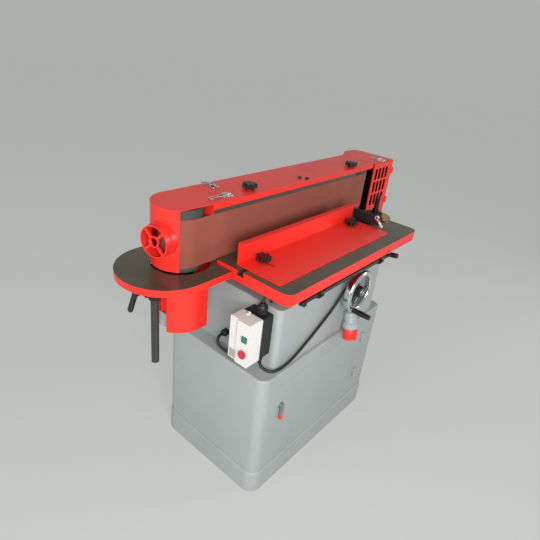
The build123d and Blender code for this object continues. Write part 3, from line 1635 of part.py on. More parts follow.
def bend_radii(points):
    """Radius at each inner point of a route: as large as its two runs allow."""
    radii = []
    for before, here, after in zip(points, points[1:], points[2:]):
        into = Vector(here) - Vector(before)
        out = Vector(after) - Vector(here)
        turn = radians(into.get_angle(out))
        radii.append(bend_share * min(into.length, out.length) / tan(turn / 2))
    return radii


# Leads held by the stand: one into the top plate, one from the frame's side round to the switch base
top_lead = [
    (top_gland_x, top_gland_y, switch_high + top_gland_length),
    (top_gland_x, top_gland_y, frame_top + top_lead_shoulder),
    (top_gland_x + top_lead_span / 2, top_gland_y, frame_top + top_lead_crown),
    (top_gland_x + top_lead_span, top_gland_y, frame_top + top_lead_shoulder),
    (top_gland_x + top_lead_span, top_gland_y, frame_top),
]
rear_lead = [
    (frame_left - rear_gland_length, rear_gland_y, rear_gland_z),
    (frame_left - rear_gland_length - rear_exit, rear_gland_y, rear_gland_z),
    (frame_left - 50, -8, cabinet_top + 36),
    (frame_left - 47, -24, cabinet_top + 19),
    (frame_left - 37, -47, cabinet_top + 10),
    (frame_left - 28, -74, cabinet_top + 10),
    (rear_entry_x, -98, cabinet_top + 18),
    (rear_entry_x, -113, cabinet_top + 33),
    (rear_entry_x, rear_entry_y, switch_low - rear_exit),
    (rear_entry_x, rear_entry_y, switch_low),
]
with BuildPart() as switch_leads:
    for lead, radius in ((top_lead, lead_radius), (rear_lead, rear_lead_radius)):
        with BuildLine() as lead_path:
            FilletPolyline(*lead, radius=bend_radii(lead))
        with BuildSketch(Plane(origin=lead_path.line @ 0, z_dir=lead_path.line % 0)):
            Circle(radius)
        sweep(path=lead_path.wires()[0])

# Mains cord: round the frame's corner, up across its front, over the handwheel's shaft, down to the plug
cord_low = switch_low - mains_gland_length
cord_y = frame_front - cord_off
relief_top = Vector(82, frame_front - 24, frame_top - 127)
plug_way = Vector(-0.12, -0.24, -0.964).normalized()
cord_points = [
    (mains_gland_x, mains_gland_y, cord_low),
    (mains_gland_x, mains_gland_y, cord_low - 14),
    (mains_gland_x + 1, mains_gland_y - 12, cord_low - 25),
    (mains_gland_x + 6, mains_gland_y - 30, cord_low - 31),
    (mains_gland_x + 18, mains_gland_y - 45, cord_low - 33),
    (mains_gland_x + 44, cord_y + 3, cord_low - 31),
    (-262, cord_y, frame_top - 208),
    (-222, cord_y, frame_top - 194),
    (-174, cord_y, frame_top - 171),
    (-126, cord_y, frame_top - 145),
    (-78, cord_y, frame_top - 117),
    (-32, cord_y, frame_top - 88),
    (2, cord_y, frame_top - 58),
    (30, cord_y - 1, frame_top - 32),
    (58, cord_y - 2, frame_top - 18),
    (86, cord_y - 3, frame_top - 22),
    (97, cord_y - 3, frame_top - 51),
    tuple(relief_top - plug_way * cord_last_run),
    tuple(relief_top),
]
with BuildPart() as mains_cord:
    with BuildLine() as cord_path:
        FilletPolyline(*cord_points, radius=bend_radii(cord_points))
    with BuildSketch(Plane(origin=cord_path.line @ 0, z_dir=cord_path.line % 0)):
        Circle(cord_radius)
    sweep(path=cord_path.wires()[0])
print("mains cord length", round(cord_path.wires()[0].length, 1))

# Plug: tapered relief and grip body with its pins, then the round shroud
plug_plane = Plane(origin=relief_top, z_dir=plug_way)
with BuildPart() as plug_body:
    with BuildSketch(plug_plane):
        Circle(relief_radius)
    extrude(amount=relief_length)
    with BuildSketch(plug_plane.offset(relief_length - plug_neck_length)):
        Circle(plug_neck)
    extrude(amount=plug_neck_length)
    with BuildSketch(plug_plane.offset(relief_length)):
        Circle(plug_radius)
    extrude(amount=plug_length)
    with BuildSketch(plug_plane.offset(relief_length + plug_length)):
        with PolarLocations(plug_pin_ring, plug_pin_count):
            Circle(plug_pin)
    extrude(amount=plug_pin_length)
with BuildPart() as plug_shroud:
    with BuildSketch(plug_plane.offset(relief_length + plug_length)):
        Circle(shroud_radius)
        Circle(shroud_radius - shroud_wall, mode=Mode.SUBTRACT)
    extrude(amount=shroud_length)

pieces = {
    "base_plinth": base_plinth.part,
    "lower_cabinet": lower_cabinet.part,
    "cabinet_door": cabinet_door.part,
    "door_latch": door_latch.part,
    "upper_frame": upper_frame.part,
    "column_bushes": column_bushes.part,
    "guide_columns": guide_columns.part,
    "table_saddle": table_saddle.part,
    "lift_screw": lift_screw.part,
    "gear_nut": gear_nut.part,
    "handwheel_shaft": handwheel_shaft.part,
    "handwheel": handwheel.part,
    "crank_handle": crank_handle.part,
    "lock_bar": lock_bar.part,
    "lock_bar_brackets": lock_bar_brackets.part,
    "main_table": main_table.part,
    "edge_fence": edge_fence.part,
    "fence_t_bolts": fence_t_bolts.part,
    "fence_knob_left": fence_knob_left,
    "fence_knob_right": fence_knob_right,
    "gauge_bar": gauge_bar.part,
    "gauge_scale": gauge_scale.part,
    "gauge_head": gauge_head.part,
    "gauge_handle": gauge_handle.part,
    "gauge_lever": gauge_lever.part,
    "end_table": end_table.part,
    "end_table_post": end_table_post.part,
    "post_clamp": post_clamp.part,
    "clamp_lever": clamp_lever.part,
    "head_base": head_base.part,
    "head_beam": head_beam.part,
    "platen": platen.part,
    "sanding_belt": sanding_belt.part,
    "drive_drum": drive_drum,
    "drive_spindle": drive_spindle.part,
    "idler_drum": idler_drum,
    "tension_slide": tension_slide.part,
    "tension_knob": tension_knob.part,
    "motor_body": motor_body.part,
    "motor_fan_cover": motor_fan_cover.part,
    "motor_guard": motor_guard.part,
    "top_cover": top_cover.part,
    "top_knob_left": top_knob_left,
    "top_knob_right": top_knob_right,
    "cover_bolts": cover_bolts.part,
    "rear_guard": rear_guard.part,
    "left_end_cover": left_end_cover.part,
    "dust_port": dust_port.part,
    "right_end_cover": right_end_cover.part,
    "grille_door": grille_door.part,
    "cover_latches": cover_latches,
    "switch_base": switch_base.part,
    "switch_cover": switch_cover.part,
    "on_button": on_button.part,
    "off_button": off_button.part,
    "cable_glands": cable_glands.part,
    "switch_leads": switch_leads.part,
    "mains_cord": mains_cord.part,
    "plug_body": plug_body.part,
    "plug_shroud": plug_shroud.part,
}
for name, piece in pieces.items():
    piece.label = name
    export_step(piece, f"parts/{name}.step")
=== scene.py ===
# %% [markdown]
# # An edge sander, dressed for its picture
# The machine arrives as solids from CAD, each already in its place. This lesson gives them paint, ground
# iron, abrasive cloth and plastic, and models the small things that a solid only hints at: the mains cord
# and its plug, the draw latches, the cable glands and small fittings.

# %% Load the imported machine
import json
import math

import bmesh
import bpy
from mathutils import Matrix, Vector


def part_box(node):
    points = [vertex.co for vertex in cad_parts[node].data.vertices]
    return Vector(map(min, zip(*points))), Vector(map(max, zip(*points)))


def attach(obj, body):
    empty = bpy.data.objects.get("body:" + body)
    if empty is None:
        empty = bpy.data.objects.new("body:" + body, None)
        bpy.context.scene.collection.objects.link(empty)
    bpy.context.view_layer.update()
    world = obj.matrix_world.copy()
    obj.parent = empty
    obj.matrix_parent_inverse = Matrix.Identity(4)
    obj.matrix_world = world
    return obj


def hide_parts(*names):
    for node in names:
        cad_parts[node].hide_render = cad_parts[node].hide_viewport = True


MM = 0.001  # in metres

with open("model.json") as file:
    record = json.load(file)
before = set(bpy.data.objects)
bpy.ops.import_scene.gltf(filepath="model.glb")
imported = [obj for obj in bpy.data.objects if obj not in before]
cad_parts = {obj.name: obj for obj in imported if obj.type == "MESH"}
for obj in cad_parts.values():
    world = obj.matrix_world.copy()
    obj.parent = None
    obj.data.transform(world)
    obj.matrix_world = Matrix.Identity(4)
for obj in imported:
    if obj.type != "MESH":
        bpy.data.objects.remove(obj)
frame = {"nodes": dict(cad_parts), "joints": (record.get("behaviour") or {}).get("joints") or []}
nodes = frame["nodes"]
hinge_at = {joint["name"]: Vector(joint["pos_m"]) for joint in frame["joints"] if joint["type"] == "hinge"}
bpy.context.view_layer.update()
scene = bpy.context.scene
scene.view_settings.view_transform = "Standard"
print("solids loaded:", len(nodes), "hinges:", len(hinge_at))

# %% [markdown]
# ## The camera
# The camera stands where the photographer stood. Its place, its turn and its lens come from fitting a
# pinhole camera to the straight edges of the table, the covers and the stand. It was held a little askew,
# so the view has a roll of almost seven degrees. Three angles could turn the camera too, but a matrix of
# right, up and backward states the turn with no order of turns to remember.

# %% Camera at the photograph's place
IMAGE_WIDTH, FOCAL_PIXELS, SENSOR_MM = 540, 458.75, 36
PITCH, YAW, ROLL = (math.radians(a) for a in (27.22, 52.258, 6.855))
CAMERA_AT = (-1.2657, -0.8890, 1.4836)
forward = Vector((math.sin(YAW) * math.cos(PITCH), math.cos(YAW) * math.cos(PITCH), -math.sin(PITCH)))
level = Vector((math.cos(YAW), -math.sin(YAW), 0))
upright = level.cross(forward)
right = math.cos(ROLL) * level + math.sin(ROLL) * upright
up = math.cos(ROLL) * upright - math.sin(ROLL) * level
camera_turn = Matrix((right, up, -forward)).transposed().to_4x4()
camera = bpy.data.objects.new("camera", bpy.data.cameras.new("camera"))
scene.collection.objects.link(camera)
camera.data.sensor_width = SENSOR_MM
camera.data.lens = SENSOR_MM * FOCAL_PIXELS / IMAGE_WIDTH
camera.matrix_world = Matrix.Translation(CAMERA_AT) @ camera_turn
scene.camera = camera
print("lens in mm:", round(camera.data.lens, 2))

# %% [markdown]
# ## Small tools for materials
# A colour is written as it looks on a screen, in hex, and the shader wants it linear, so one function
# converts. Another fills a node's inputs, with plain values or with links. A third adds a node, makes its
# settings and fills it, so each finish below reads as its list of nodes. Places in a finish are in metres,
# as the solids are, and the sizes of its patterns are in millimetres.

# %% Colour, node and finish helpers
def linear(hex_colour):
    """An sRGB hex colour as linear RGBA."""
    parts = [int(hex_colour[i:i + 2], 16) / 255 for i in (1, 3, 5)]
    return [p / 12.92 if p <= 0.04045 else ((p + 0.055) / 1.055) ** 2.4 for p in parts] + [1.0]


def fill(tree, node, inputs):
    """Fills a node's inputs, each with a plain value or with a link from a socket."""
    for name, value in inputs.items():
        if isinstance(value, bpy.types.NodeSocket):
            tree.links.new(value, node.inputs[name])
        else:
            node.inputs[name].default_value = value


def add(tree, kind, inputs=None, **settings):
    """Adds a node with its settings made and its inputs filled."""
    made = tree.nodes.new(kind)
    for key, value in settings.items():
        setattr(made, key, value)
    fill(tree, made, inputs or {})
    return made


def new_finish(name, colour, sockets):
    """A material with one shader, its plain sockets set; returns the material, its tree and the shader."""
    material = bpy.data.materials.new(name)
    material.use_nodes = True
    tree = material.node_tree
    shader = tree.nodes["Principled BSDF"]
    fill(tree, shader, {"Base Color": linear(colour), **sockets})
    return material, tree, shader


print("mid grey in linear light:", round(linear("#808080")[0], 3))

# %% [markdown]
# ## Sprayed enamel
# The covers and the stand are sprayed with gloss enamel. One flat colour would look like plastic, because a
# sprayed coat is never quite even: it has a faint orange peel a millimetre or two across, which breaks up
# reflections, and its colour drifts a little where the coat is thin or has been handled. Both come from
# noise on Object coordinates, so they stay with the metal.

# %% Sprayed enamel in any colour
RED = "#E8271C"
IOR_PAINT = 1.5
DRIFT_MM = 142.9
PEEL_MM, PEEL_DEPTH = 1.6, 0.0002
WORN_SHARE = 0.55
GLOSSIER, DULLER, COAT_ROUGHNESS = 0.06, 0.08, 0.12


def sprayed_enamel(name, colour, worn, roughness, peel, coat):
    """Gloss enamel: colour drifting to a worn tint, orange peel bump, and a thin clear coat."""
    sockets = {"Coat Weight": coat, "Coat Roughness": COAT_ROUGHNESS, "IOR": IOR_PAINT}
    material, tree, shader = new_finish(name, colour, sockets)
    place = add(tree, "ShaderNodeTexCoord").outputs["Object"]
    drift = add(tree, "ShaderNodeTexNoise", {
        "Vector": place, "Scale": 1000 / DRIFT_MM, "Detail": 4.0, "Roughness": 0.6,
    }).outputs["Fac"]
    wear = add(tree, "ShaderNodeMapRange", {
        "Value": drift, "From Min": 0.35, "From Max": 0.75, "To Max": WORN_SHARE,
    }).outputs["Result"]
    tint = add(tree, "ShaderNodeMix", {
        "Factor": wear, "A": linear(colour), "B": linear(worn),
    }, data_type="RGBA")
    gloss = add(tree, "ShaderNodeMapRange", {
        "Value": drift, "To Min": roughness - GLOSSIER, "To Max": roughness + DULLER,
    })
    skin = add(tree, "ShaderNodeTexNoise", {"Vector": place, "Scale": 1000 / PEEL_MM, "Detail": 1.0})
    bump = add(tree, "ShaderNodeBump", {
        "Height": skin.outputs["Fac"], "Strength": peel, "Distance": PEEL_DEPTH,
    })
    fill(tree, shader, {
        "Base Color": tint.outputs[2],
        "Roughness": gloss.outputs["Result"],
        "Normal": bump.outputs["Normal"],
    })
    return material


red_enamel = sprayed_enamel("red_enamel", RED, "#D62D23", roughness=0.36, peel=0.10, coat=0.12)
stand_enamel = sprayed_enamel("grey_stand_enamel", "#9DA2A2", "#929796", roughness=0.46, peel=0.18, coat=0.08)
satin_black = sprayed_enamel("satin_black_enamel", "#0E0F0E", "#181917", roughness=0.44, peel=0.12, coat=0.0)
post_black = sprayed_enamel("blackened_post_steel", "#31312E", "#262624", roughness=0.5, peel=0.10, coat=0.0)
gauge_black = sprayed_enamel("matt_black_enamel", "#060606", "#0C0C0B", roughness=0.6, peel=0.10, coat=0.0)
print("enamels:", red_enamel.name, stand_enamel.name, satin_black.name, post_black.name, gauge_black.name)

# %% [markdown]
# ## Ground cast iron with a painted rim
# Both tables are iron castings whose tops are ground and whose rims are painted red. Two materials on
# separate faces could do it, but one is simpler, because a place on the casting decides: everything below
# the ground face is paint, apart from the long table's T-slot and the end table's round cut-out, which are
# bare iron too. The first cell makes that mask. The grinding wheel leaves lines along the table, drawn a
# millimetre apart because the real ones are too fine to show, and handling leaves darker, rusty-brown
# clouds.

# %% Where the castings are bare
ACROSS_Y, ACROSS_Z = (1, 0, 1), (1, 1, 0)
FACE_SKIN = 0.0007
SLOT_HALF, SLOT_DEPTH = 0.0145, 0.0175
CUT_RADIUS = 0.0975


def from_axis(tree, place, axis_at, across):
    """Distance from an axis through a point; across keeps the two coordinates that count."""
    arm = add(tree, "ShaderNodeVectorMath", {0: place, 1: axis_at}, operation="SUBTRACT").outputs[0]
    flat = add(tree, "ShaderNodeVectorMath", {0: arm, 1: across}, operation="MULTIPLY").outputs[0]
    return add(tree, "ShaderNodeVectorMath", {0: flat}, operation="LENGTH").outputs["Value"]


def bare_places(tree, place, top, slot_y, cut_at):
    """One on the ground top, in the slot and in the cut-out, nought on the paint."""
    axes = add(tree, "ShaderNodeSeparateXYZ", {"Vector": place}).outputs
    face = top - FACE_SKIN
    bare = add(tree, "ShaderNodeMath", {0: axes["Z"], 1: face}, operation="GREATER_THAN").outputs[0]
    if slot_y is not None:
        within = add(tree, "ShaderNodeMath", {0: axes["Y"], 1: slot_y, 2: SLOT_HALF}, operation="COMPARE")
        above = add(tree, "ShaderNodeMath", {0: axes["Z"], 1: top - SLOT_DEPTH}, operation="GREATER_THAN")
        slot = add(tree, "ShaderNodeMath", {0: within.outputs[0], 1: above.outputs[0]}, operation="MULTIPLY")
        bare = add(tree, "ShaderNodeMath", {0: bare, 1: slot.outputs[0]}, operation="MAXIMUM").outputs[0]
    if cut_at is not None:
        reach = from_axis(tree, place, cut_at, ACROSS_Z)
        cut = add(tree, "ShaderNodeMath", {0: reach, 1: CUT_RADIUS}, operation="LESS_THAN")
        bare = add(tree, "ShaderNodeMath", {0: bare, 1: cut.outputs[0]}, operation="MAXIMUM").outputs[0]
    return bare


print("cut-out radius in mm:", round(CUT_RADIUS / MM, 1))

# %% Ground iron where bare, red enamel elsewhere
GRIND_MM, GRIND_ALONG_MM, GRIND_STRENGTH, GRIND_DEPTH = 1.2, 83.33, 0.12, 0.0002
CLOUD_MM = 111.1
SCORE_SHARE = 0.35
BARE_METAL = 0.6


def ground_iron(name, table, slot_y=None, cut_at=None):
    """Ground iron on the top face, in the slot and in the cut-out; red enamel everywhere else."""
    material, tree, shader = new_finish(name, "#6B645A", {"IOR": IOR_PAINT})
    place = add(tree, "ShaderNodeTexCoord").outputs["Object"]
    bare = bare_places(tree, place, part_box(table)[1].z, slot_y, cut_at)
    lay = (1000 / GRIND_ALONG_MM, 1000 / GRIND_MM, 1000 / GRIND_MM)
    along = add(tree, "ShaderNodeMapping", {"Vector": place, "Scale": lay}).outputs[0]
    lines = add(tree, "ShaderNodeTexNoise", {"Vector": along, "Scale": 1.0, "Detail": 3.0}).outputs["Fac"]
    cloud = add(tree, "ShaderNodeTexNoise", {
        "Vector": place, "Scale": 1000 / CLOUD_MM, "Detail": 5.0, "Roughness": 0.62,
    }).outputs["Fac"]
    iron = add(tree, "ShaderNodeMix", {
        "Factor": cloud, "A": linear("#777062"), "B": linear("#524C41"),
    }, data_type="RGBA").outputs[2]
    scored = add(tree, "ShaderNodeMix", {
        "Factor": SCORE_SHARE, "A": iron, "B": linear("#A19C90"),
    }, data_type="RGBA", blend_type="MULTIPLY").outputs[2]
    streaked = add(tree, "ShaderNodeMix", {
        "Factor": lines, "A": scored, "B": iron,
    }, data_type="RGBA").outputs[2]
    colour = add(tree, "ShaderNodeMix", {"Factor": bare, "A": linear(RED), "B": streaked}, data_type="RGBA")
    metal = add(tree, "ShaderNodeMath", {0: bare, 1: BARE_METAL}, operation="MULTIPLY")
    shine = add(tree, "ShaderNodeMapRange", {"Value": cloud, "To Min": 0.2, "To Max": 0.34})
    scores = add(tree, "ShaderNodeMath", {0: lines, 1: bare}, operation="MULTIPLY")
    bump = add(tree, "ShaderNodeBump", {
        "Height": scores.outputs[0], "Strength": GRIND_STRENGTH, "Distance": GRIND_DEPTH,
    })
    fill(tree, shader, {
        "Base Color": colour.outputs[2],
        "Metallic": metal.outputs[0],
        "Roughness": shine.outputs["Result"],
        "Normal": bump.outputs["Normal"],
    })
    return material


table_iron = ground_iron("ground_table_iron", "main_table", slot_y=hinge_at["gauge_swing"].y)
end_iron = ground_iron("ground_end_table_iron", "end_table", cut_at=hinge_at["drive_spin"])
print("ground tops:", table_iron.name, end_iron.name)

# %% [markdown]
# ## Abrasive cloth
# The belt is cloth with brown aluminium oxide grain glued on. A wrapped image could carry the grain, but
# noise on Object coordinates needs no unwrapping. The real grit is a fifth of a millimetre, too fine for
# this view, so it is drawn at a millimetre. Wood dust packs into the grain in pale upright clouds.

# %% Brown abrasive cloth
GRIT_MM, GRIT_STRENGTH, GRIT_DEPTH = 1.0, 0.35, 0.0003
DUST_ACROSS_MM, DUST_UP_MM, DUST_SHARE = 71.43, 666.7, 0.4


def grit_cloth():
    """Cloth with brown grit and pale dust in upright clouds."""
    sockets = {"Roughness": 0.72, "IOR": IOR_PAINT}
    material, tree, shader = new_finish("brown_abrasive_cloth", "#7C4A3D", sockets)
    place = add(tree, "ShaderNodeTexCoord").outputs["Object"]
    grit = add(tree, "ShaderNodeTexNoise", {
        "Vector": place, "Scale": 1000 / GRIT_MM, "Detail": 2.0,
    }).outputs["Fac"]
    lay = (1000 / DUST_ACROSS_MM, 1000 / DUST_ACROSS_MM, 1000 / DUST_UP_MM)
    upright_bands = add(tree, "ShaderNodeMapping", {"Vector": place, "Scale": lay}).outputs[0]
    dust = add(tree, "ShaderNodeTexNoise", {"Vector": upright_bands, "Scale": 1.0, "Detail": 3.0})
    dusty = add(tree, "ShaderNodeMapRange", {
        "Value": dust.outputs["Fac"], "From Min": 0.45, "From Max": 0.8, "To Max": DUST_SHARE,
    })
    grain = add(tree, "ShaderNodeMix", {
        "Factor": grit, "A": linear("#763A2C"), "B": linear("#954F3E"),
    }, data_type="RGBA")
    colour = add(tree, "ShaderNodeMix", {
        "Factor": dusty.outputs["Result"], "A": grain.outputs[2], "B": linear("#9E5947"),
    }, data_type="RGBA")
    bump = add(tree, "ShaderNodeBump", {"Height": grit, "Strength": GRIT_STRENGTH, "Distance": GRIT_DEPTH})
    fill(tree, shader, {"Base Color": colour.outputs[2], "Normal": bump.outputs["Normal"]})
    return material


abrasive_cloth = grit_cloth()
print("belt material:", abrasive_cloth.name)

# %% [markdown]
# ## Bright metals and drum rubber
# Turned steel, zinc-plated latches, nickel and graphite differ mostly in tint and in how sharply they
# reflect, so one function serves them all. A little noise in the roughness stops them from looking like
# mirrors cut from one sheet. Their surface grain is drawn coarser than it is, or it wouldn't show. The
# drums' rubber is scuffed by the belt's back, so both its colour and its shine drift.

# %% Metals with handled surfaces
SMEAR_MM = 25
GRAIN_DEPTH = 0.0001


def bright_metal(name, colour, roughness, smear, grain_mm, strength):
    """A bare metal whose roughness drifts by smear and whose surface has a fine grain."""
    material, tree, shader = new_finish(name, colour, {"Metallic": 1.0})
    place = add(tree, "ShaderNodeTexCoord").outputs["Object"]
    drift = add(tree, "ShaderNodeTexNoise", {"Vector": place, "Scale": 1000 / SMEAR_MM, "Detail": 4.0})
    shine = add(tree, "ShaderNodeMapRange", {
        "Value": drift.outputs["Fac"], "To Min": roughness - smear, "To Max": roughness + smear,
    })
    grain = add(tree, "ShaderNodeTexNoise", {"Vector": place, "Scale": 1000 / grain_mm, "Detail": 1.0})
    bump = add(tree, "ShaderNodeBump", {
        "Height": grain.outputs["Fac"], "Strength": strength, "Distance": GRAIN_DEPTH,
    })
    fill(tree, shader, {"Roughness": shine.outputs["Result"], "Normal": bump.outputs["Normal"]})
    return material


turned_steel = bright_metal("turned_steel", "#A9A8A4", roughness=0.34, smear=0.10, grain_mm=0.8,
                            strength=0.10)
zinc_plate = bright_metal("zinc_plated_steel", "#C3C4C2", roughness=0.26, smear=0.10, grain_mm=1.2,
                          strength=0.08)
polished_lever = bright_metal("polished_nickel_plate", "#EFEEE8", roughness=0.48, smear=0.06, grain_mm=3.0,
                              strength=0.02)
platen_graphite = bright_metal("graphite_faced_platen", "#6D6860", roughness=0.55, smear=0.10, grain_mm=0.6,
                               strength=0.15)
print("metals:", turned_steel.name, zinc_plate.name, polished_lever.name, platen_graphite.name)

# %% Scuffed drum rubber
SCUFF_MM = 16.67


def scuffed_rubber():
    """Dark rubber whose colour and shine drift together."""
    material, tree, shader = new_finish("drum_rubber_lagging", "#3C3F3A", {"IOR": IOR_PAINT})
    place = add(tree, "ShaderNodeTexCoord").outputs["Object"]
    scuffs = add(tree, "ShaderNodeTexNoise", {
        "Vector": place, "Scale": 1000 / SCUFF_MM, "Detail": 4.0,
    }).outputs["Fac"]
    colour = add(tree, "ShaderNodeMix", {
        "Factor": scuffs, "A": linear("#2F322E"), "B": linear("#45483F"),
    }, data_type="RGBA")
    shine = add(tree, "ShaderNodeMapRange", {"Value": scuffs, "To Min": 0.5, "To Max": 0.75})
    fill(tree, shader, {"Base Color": colour.outputs[2], "Roughness": shine.outputs["Result"]})
    return material


drum_rubber = scuffed_rubber()
print("drums:", drum_rubber.name)

# %% [markdown]
# ## Moulded plastics and cord rubber
# Knobs, grips, the switch box, the buttons and the plug are moulded. Moulded plastic shows a fine
# spark-eroded texture from its tool, drawn here at about a millimetre so that it shows at all, and slight
# shine differences where fingers touch it. The cord's jacket is dull rubber.

# %% Moulded plastic in any colour
IOR_PLASTIC = 1.46
HANDLED_MM = 18.18
TOOL_DEPTH = 0.0001
SHINE_DRIFT, DULL_SHARE = 0.07, 0.86


def moulded_plastic(name, colour, roughness, texture_mm, strength):
    """Moulded plastic: even colour with faint drift, satin shine and a fine tool texture."""
    material, tree, shader = new_finish(name, colour, {"IOR": IOR_PLASTIC})
    place = add(tree, "ShaderNodeTexCoord").outputs["Object"]
    handled = add(tree, "ShaderNodeTexNoise", {
        "Vector": place, "Scale": 1000 / HANDLED_MM, "Detail": 3.0,
    }).outputs["Fac"]
    dull = [c * DULL_SHARE for c in linear(colour)[:3]] + [1.0]
    tint = add(tree, "ShaderNodeMix", {"Factor": handled, "A": linear(colour), "B": dull}, data_type="RGBA")
    shine = add(tree, "ShaderNodeMapRange", {
        "Value": handled, "To Min": roughness - SHINE_DRIFT, "To Max": roughness + SHINE_DRIFT,
    })
    tool_marks = add(tree, "ShaderNodeTexNoise", {"Vector": place, "Scale": 1000 / texture_mm, "Detail": 1.0})
    bump = add(tree, "ShaderNodeBump", {
        "Height": tool_marks.outputs["Fac"], "Strength": strength, "Distance": TOOL_DEPTH,
    })
    fill(tree, shader, {
        "Base Color": tint.outputs[2],
        "Roughness": shine.outputs["Result"],
        "Normal": bump.outputs["Normal"],
    })
    return material


black_knob = moulded_plastic("black_phenolic", "#131312", roughness=0.32, texture_mm=1.5, strength=0.10)
black_box = moulded_plastic("black_abs", "#1C1E1D", roughness=0.45, texture_mm=0.8, strength=0.2)
white_box = moulded_plastic("white_abs", "#DEDCD8", roughness=0.45, texture_mm=0.8, strength=0.15)
green_key = moulded_plastic("green_abs", "#2A7A57", roughness=0.4, texture_mm=0.8, strength=0.1)
red_key = moulded_plastic("red_abs", "#C32B36", roughness=0.4, texture_mm=0.8, strength=0.1)
grey_plug = moulded_plastic("grey_polyamide", "#A2A9AD", roughness=0.36, texture_mm=1.0, strength=0.1)
red_plug = moulded_plastic("red_polyamide", "#EB322A", roughness=0.36, texture_mm=1.0, strength=0.1)
cord_rubber = moulded_plastic("black_cord_rubber", "#1A1C1C", roughness=0.55, texture_mm=0.7, strength=0.15)
plate_plastic = moulded_plastic("grey_polyester_plate", "#A6A5A2", roughness=0.4, texture_mm=0.8,
                                strength=0.05)
print("plastics:", black_knob.name, black_box.name, white_box.name, cord_rubber.name)

# %% [markdown]
# ## Chromed rim, dark spokes
# The handwheel is one casting with a polished, chromed rim, and its dished middle stays dark. It could be
# cut into two pieces, but distance from the wheel's axis tells the two finishes apart as well, so one
# material serves the whole wheel.

# %% Handwheel finish
RIM_FROM, RIM_EDGE = 0.0595, 0.001


def chromed_wheel():
    """Chrome past the rim's inner radius, dark casting within it."""
    material, tree, shader = new_finish("chromed_wheel_casting", "#DADBDC", {"Metallic": 1.0})
    place = add(tree, "ShaderNodeTexCoord").outputs["Object"]
    rim = add(tree, "ShaderNodeMapRange", {
        "Value": from_axis(tree, place, hinge_at["handwheel_turn"], ACROSS_Y),
        "From Min": RIM_FROM - RIM_EDGE, "From Max": RIM_FROM + RIM_EDGE,
    }).outputs["Result"]
    colour = add(tree, "ShaderNodeMix", {
        "Factor": rim, "A": linear("#222423"), "B": linear("#DCDDDE"),
    }, data_type="RGBA")
    metal = add(tree, "ShaderNodeMapRange", {"Value": rim, "To Min": 0.3, "To Max": 1.0})
    shine = add(tree, "ShaderNodeMapRange", {"Value": rim, "To Min": 0.4, "To Max": 0.1})
    fill(tree, shader, {
        "Base Color": colour.outputs[2],
        "Metallic": metal.outputs["Result"],
        "Roughness": shine.outputs["Result"],
    })
    return material


wheel_finish = chromed_wheel()
print("chrome from radius in mm:", round(RIM_FROM / MM, 1))

# %% [markdown]
# ## Scale marks and a dipped handle
# Two small pieces change finish along their length. The brass scale has stamped lines every ten degrees
# round the gauge's pin. The door handle's tip is dipped in orange-red plastic. Neither change has any
# depth to speak of, so the material makes them, by angle and by height.

# %% Brass scale
BRASS = "#C7A45A"
TICK_FROM, TICK_STEP, TICK_HALF = 0.052, math.radians(10), 0.012


def stamped_scale():
    """Brass with dark lines at equal steps round the gauge's pin."""
    material, tree, shader = new_finish("stamped_brass_scale", BRASS, {"Metallic": 1.0, "Roughness": 0.3})
    place = add(tree, "ShaderNodeTexCoord").outputs["Object"]
    pin = hinge_at["gauge_swing"]
    arm = add(tree, "ShaderNodeVectorMath", {0: place, 1: pin}, operation="SUBTRACT").outputs[0]
    plan = add(tree, "ShaderNodeSeparateXYZ", {"Vector": arm}).outputs
    angle = add(tree, "ShaderNodeMath", {0: plan["Y"], 1: plan["X"]}, operation="ARCTAN2").outputs[0]
    from_line = add(tree, "ShaderNodeMath", {0: angle, 1: TICK_STEP / 2}, operation="PINGPONG").outputs[0]
    on_line = add(tree, "ShaderNodeMath", {0: from_line, 1: TICK_HALF}, operation="LESS_THAN").outputs[0]
    reach = from_axis(tree, place, pin, ACROSS_Z)
    outer = add(tree, "ShaderNodeMath", {0: reach, 1: TICK_FROM}, operation="GREATER_THAN").outputs[0]
    tick = add(tree, "ShaderNodeMath", {0: on_line, 1: outer}, operation="MULTIPLY").outputs[0]
    colour = add(tree, "ShaderNodeMix", {
        "Factor": tick, "A": linear(BRASS), "B": linear("#3B2F18"),
    }, data_type="RGBA")
    fill(tree, shader, {"Base Color": colour.outputs[2]})
    return material


scale_finish = stamped_scale()
print("scale:", scale_finish.name)

# %% Dipped door handle
HANDLE_TIP_Z = 0.327
HANDLE_METAL = 0.8
RUBBED_MM = 11.11


def dipped_handle():
    """Rubbed steel with a plastic tip below a height."""
    sockets = {"Roughness": 0.36, "IOR": IOR_PAINT}
    material, tree, shader = new_finish("dipped_steel_handle", "#9A9B98", sockets)
    place = add(tree, "ShaderNodeTexCoord").outputs["Object"]
    height = add(tree, "ShaderNodeSeparateXYZ", {"Vector": place}).outputs["Z"]
    dipped = add(tree, "ShaderNodeMath", {0: height, 1: HANDLE_TIP_Z}, operation="LESS_THAN").outputs[0]
    rubbed = add(tree, "ShaderNodeTexNoise", {"Vector": place, "Scale": 1000 / RUBBED_MM, "Detail": 3.0})
    steel = add(tree, "ShaderNodeMix", {
        "Factor": rubbed.outputs["Fac"], "A": linear("#8E908E"), "B": linear("#ABACA9"),
    }, data_type="RGBA")
    colour = add(tree, "ShaderNodeMix", {
        "Factor": dipped, "A": steel.outputs[2], "B": linear("#D8432C"),
    }, data_type="RGBA")
    metal = add(tree, "ShaderNodeMath", {0: HANDLE_METAL, 1: dipped}, operation="SUBTRACT", use_clamp=True)
    fill(tree, shader, {"Base Color": colour.outputs[2], "Metallic": metal.outputs[0]})
    return material


handle_finish = dipped_handle()
print("door handle:", handle_finish.name)

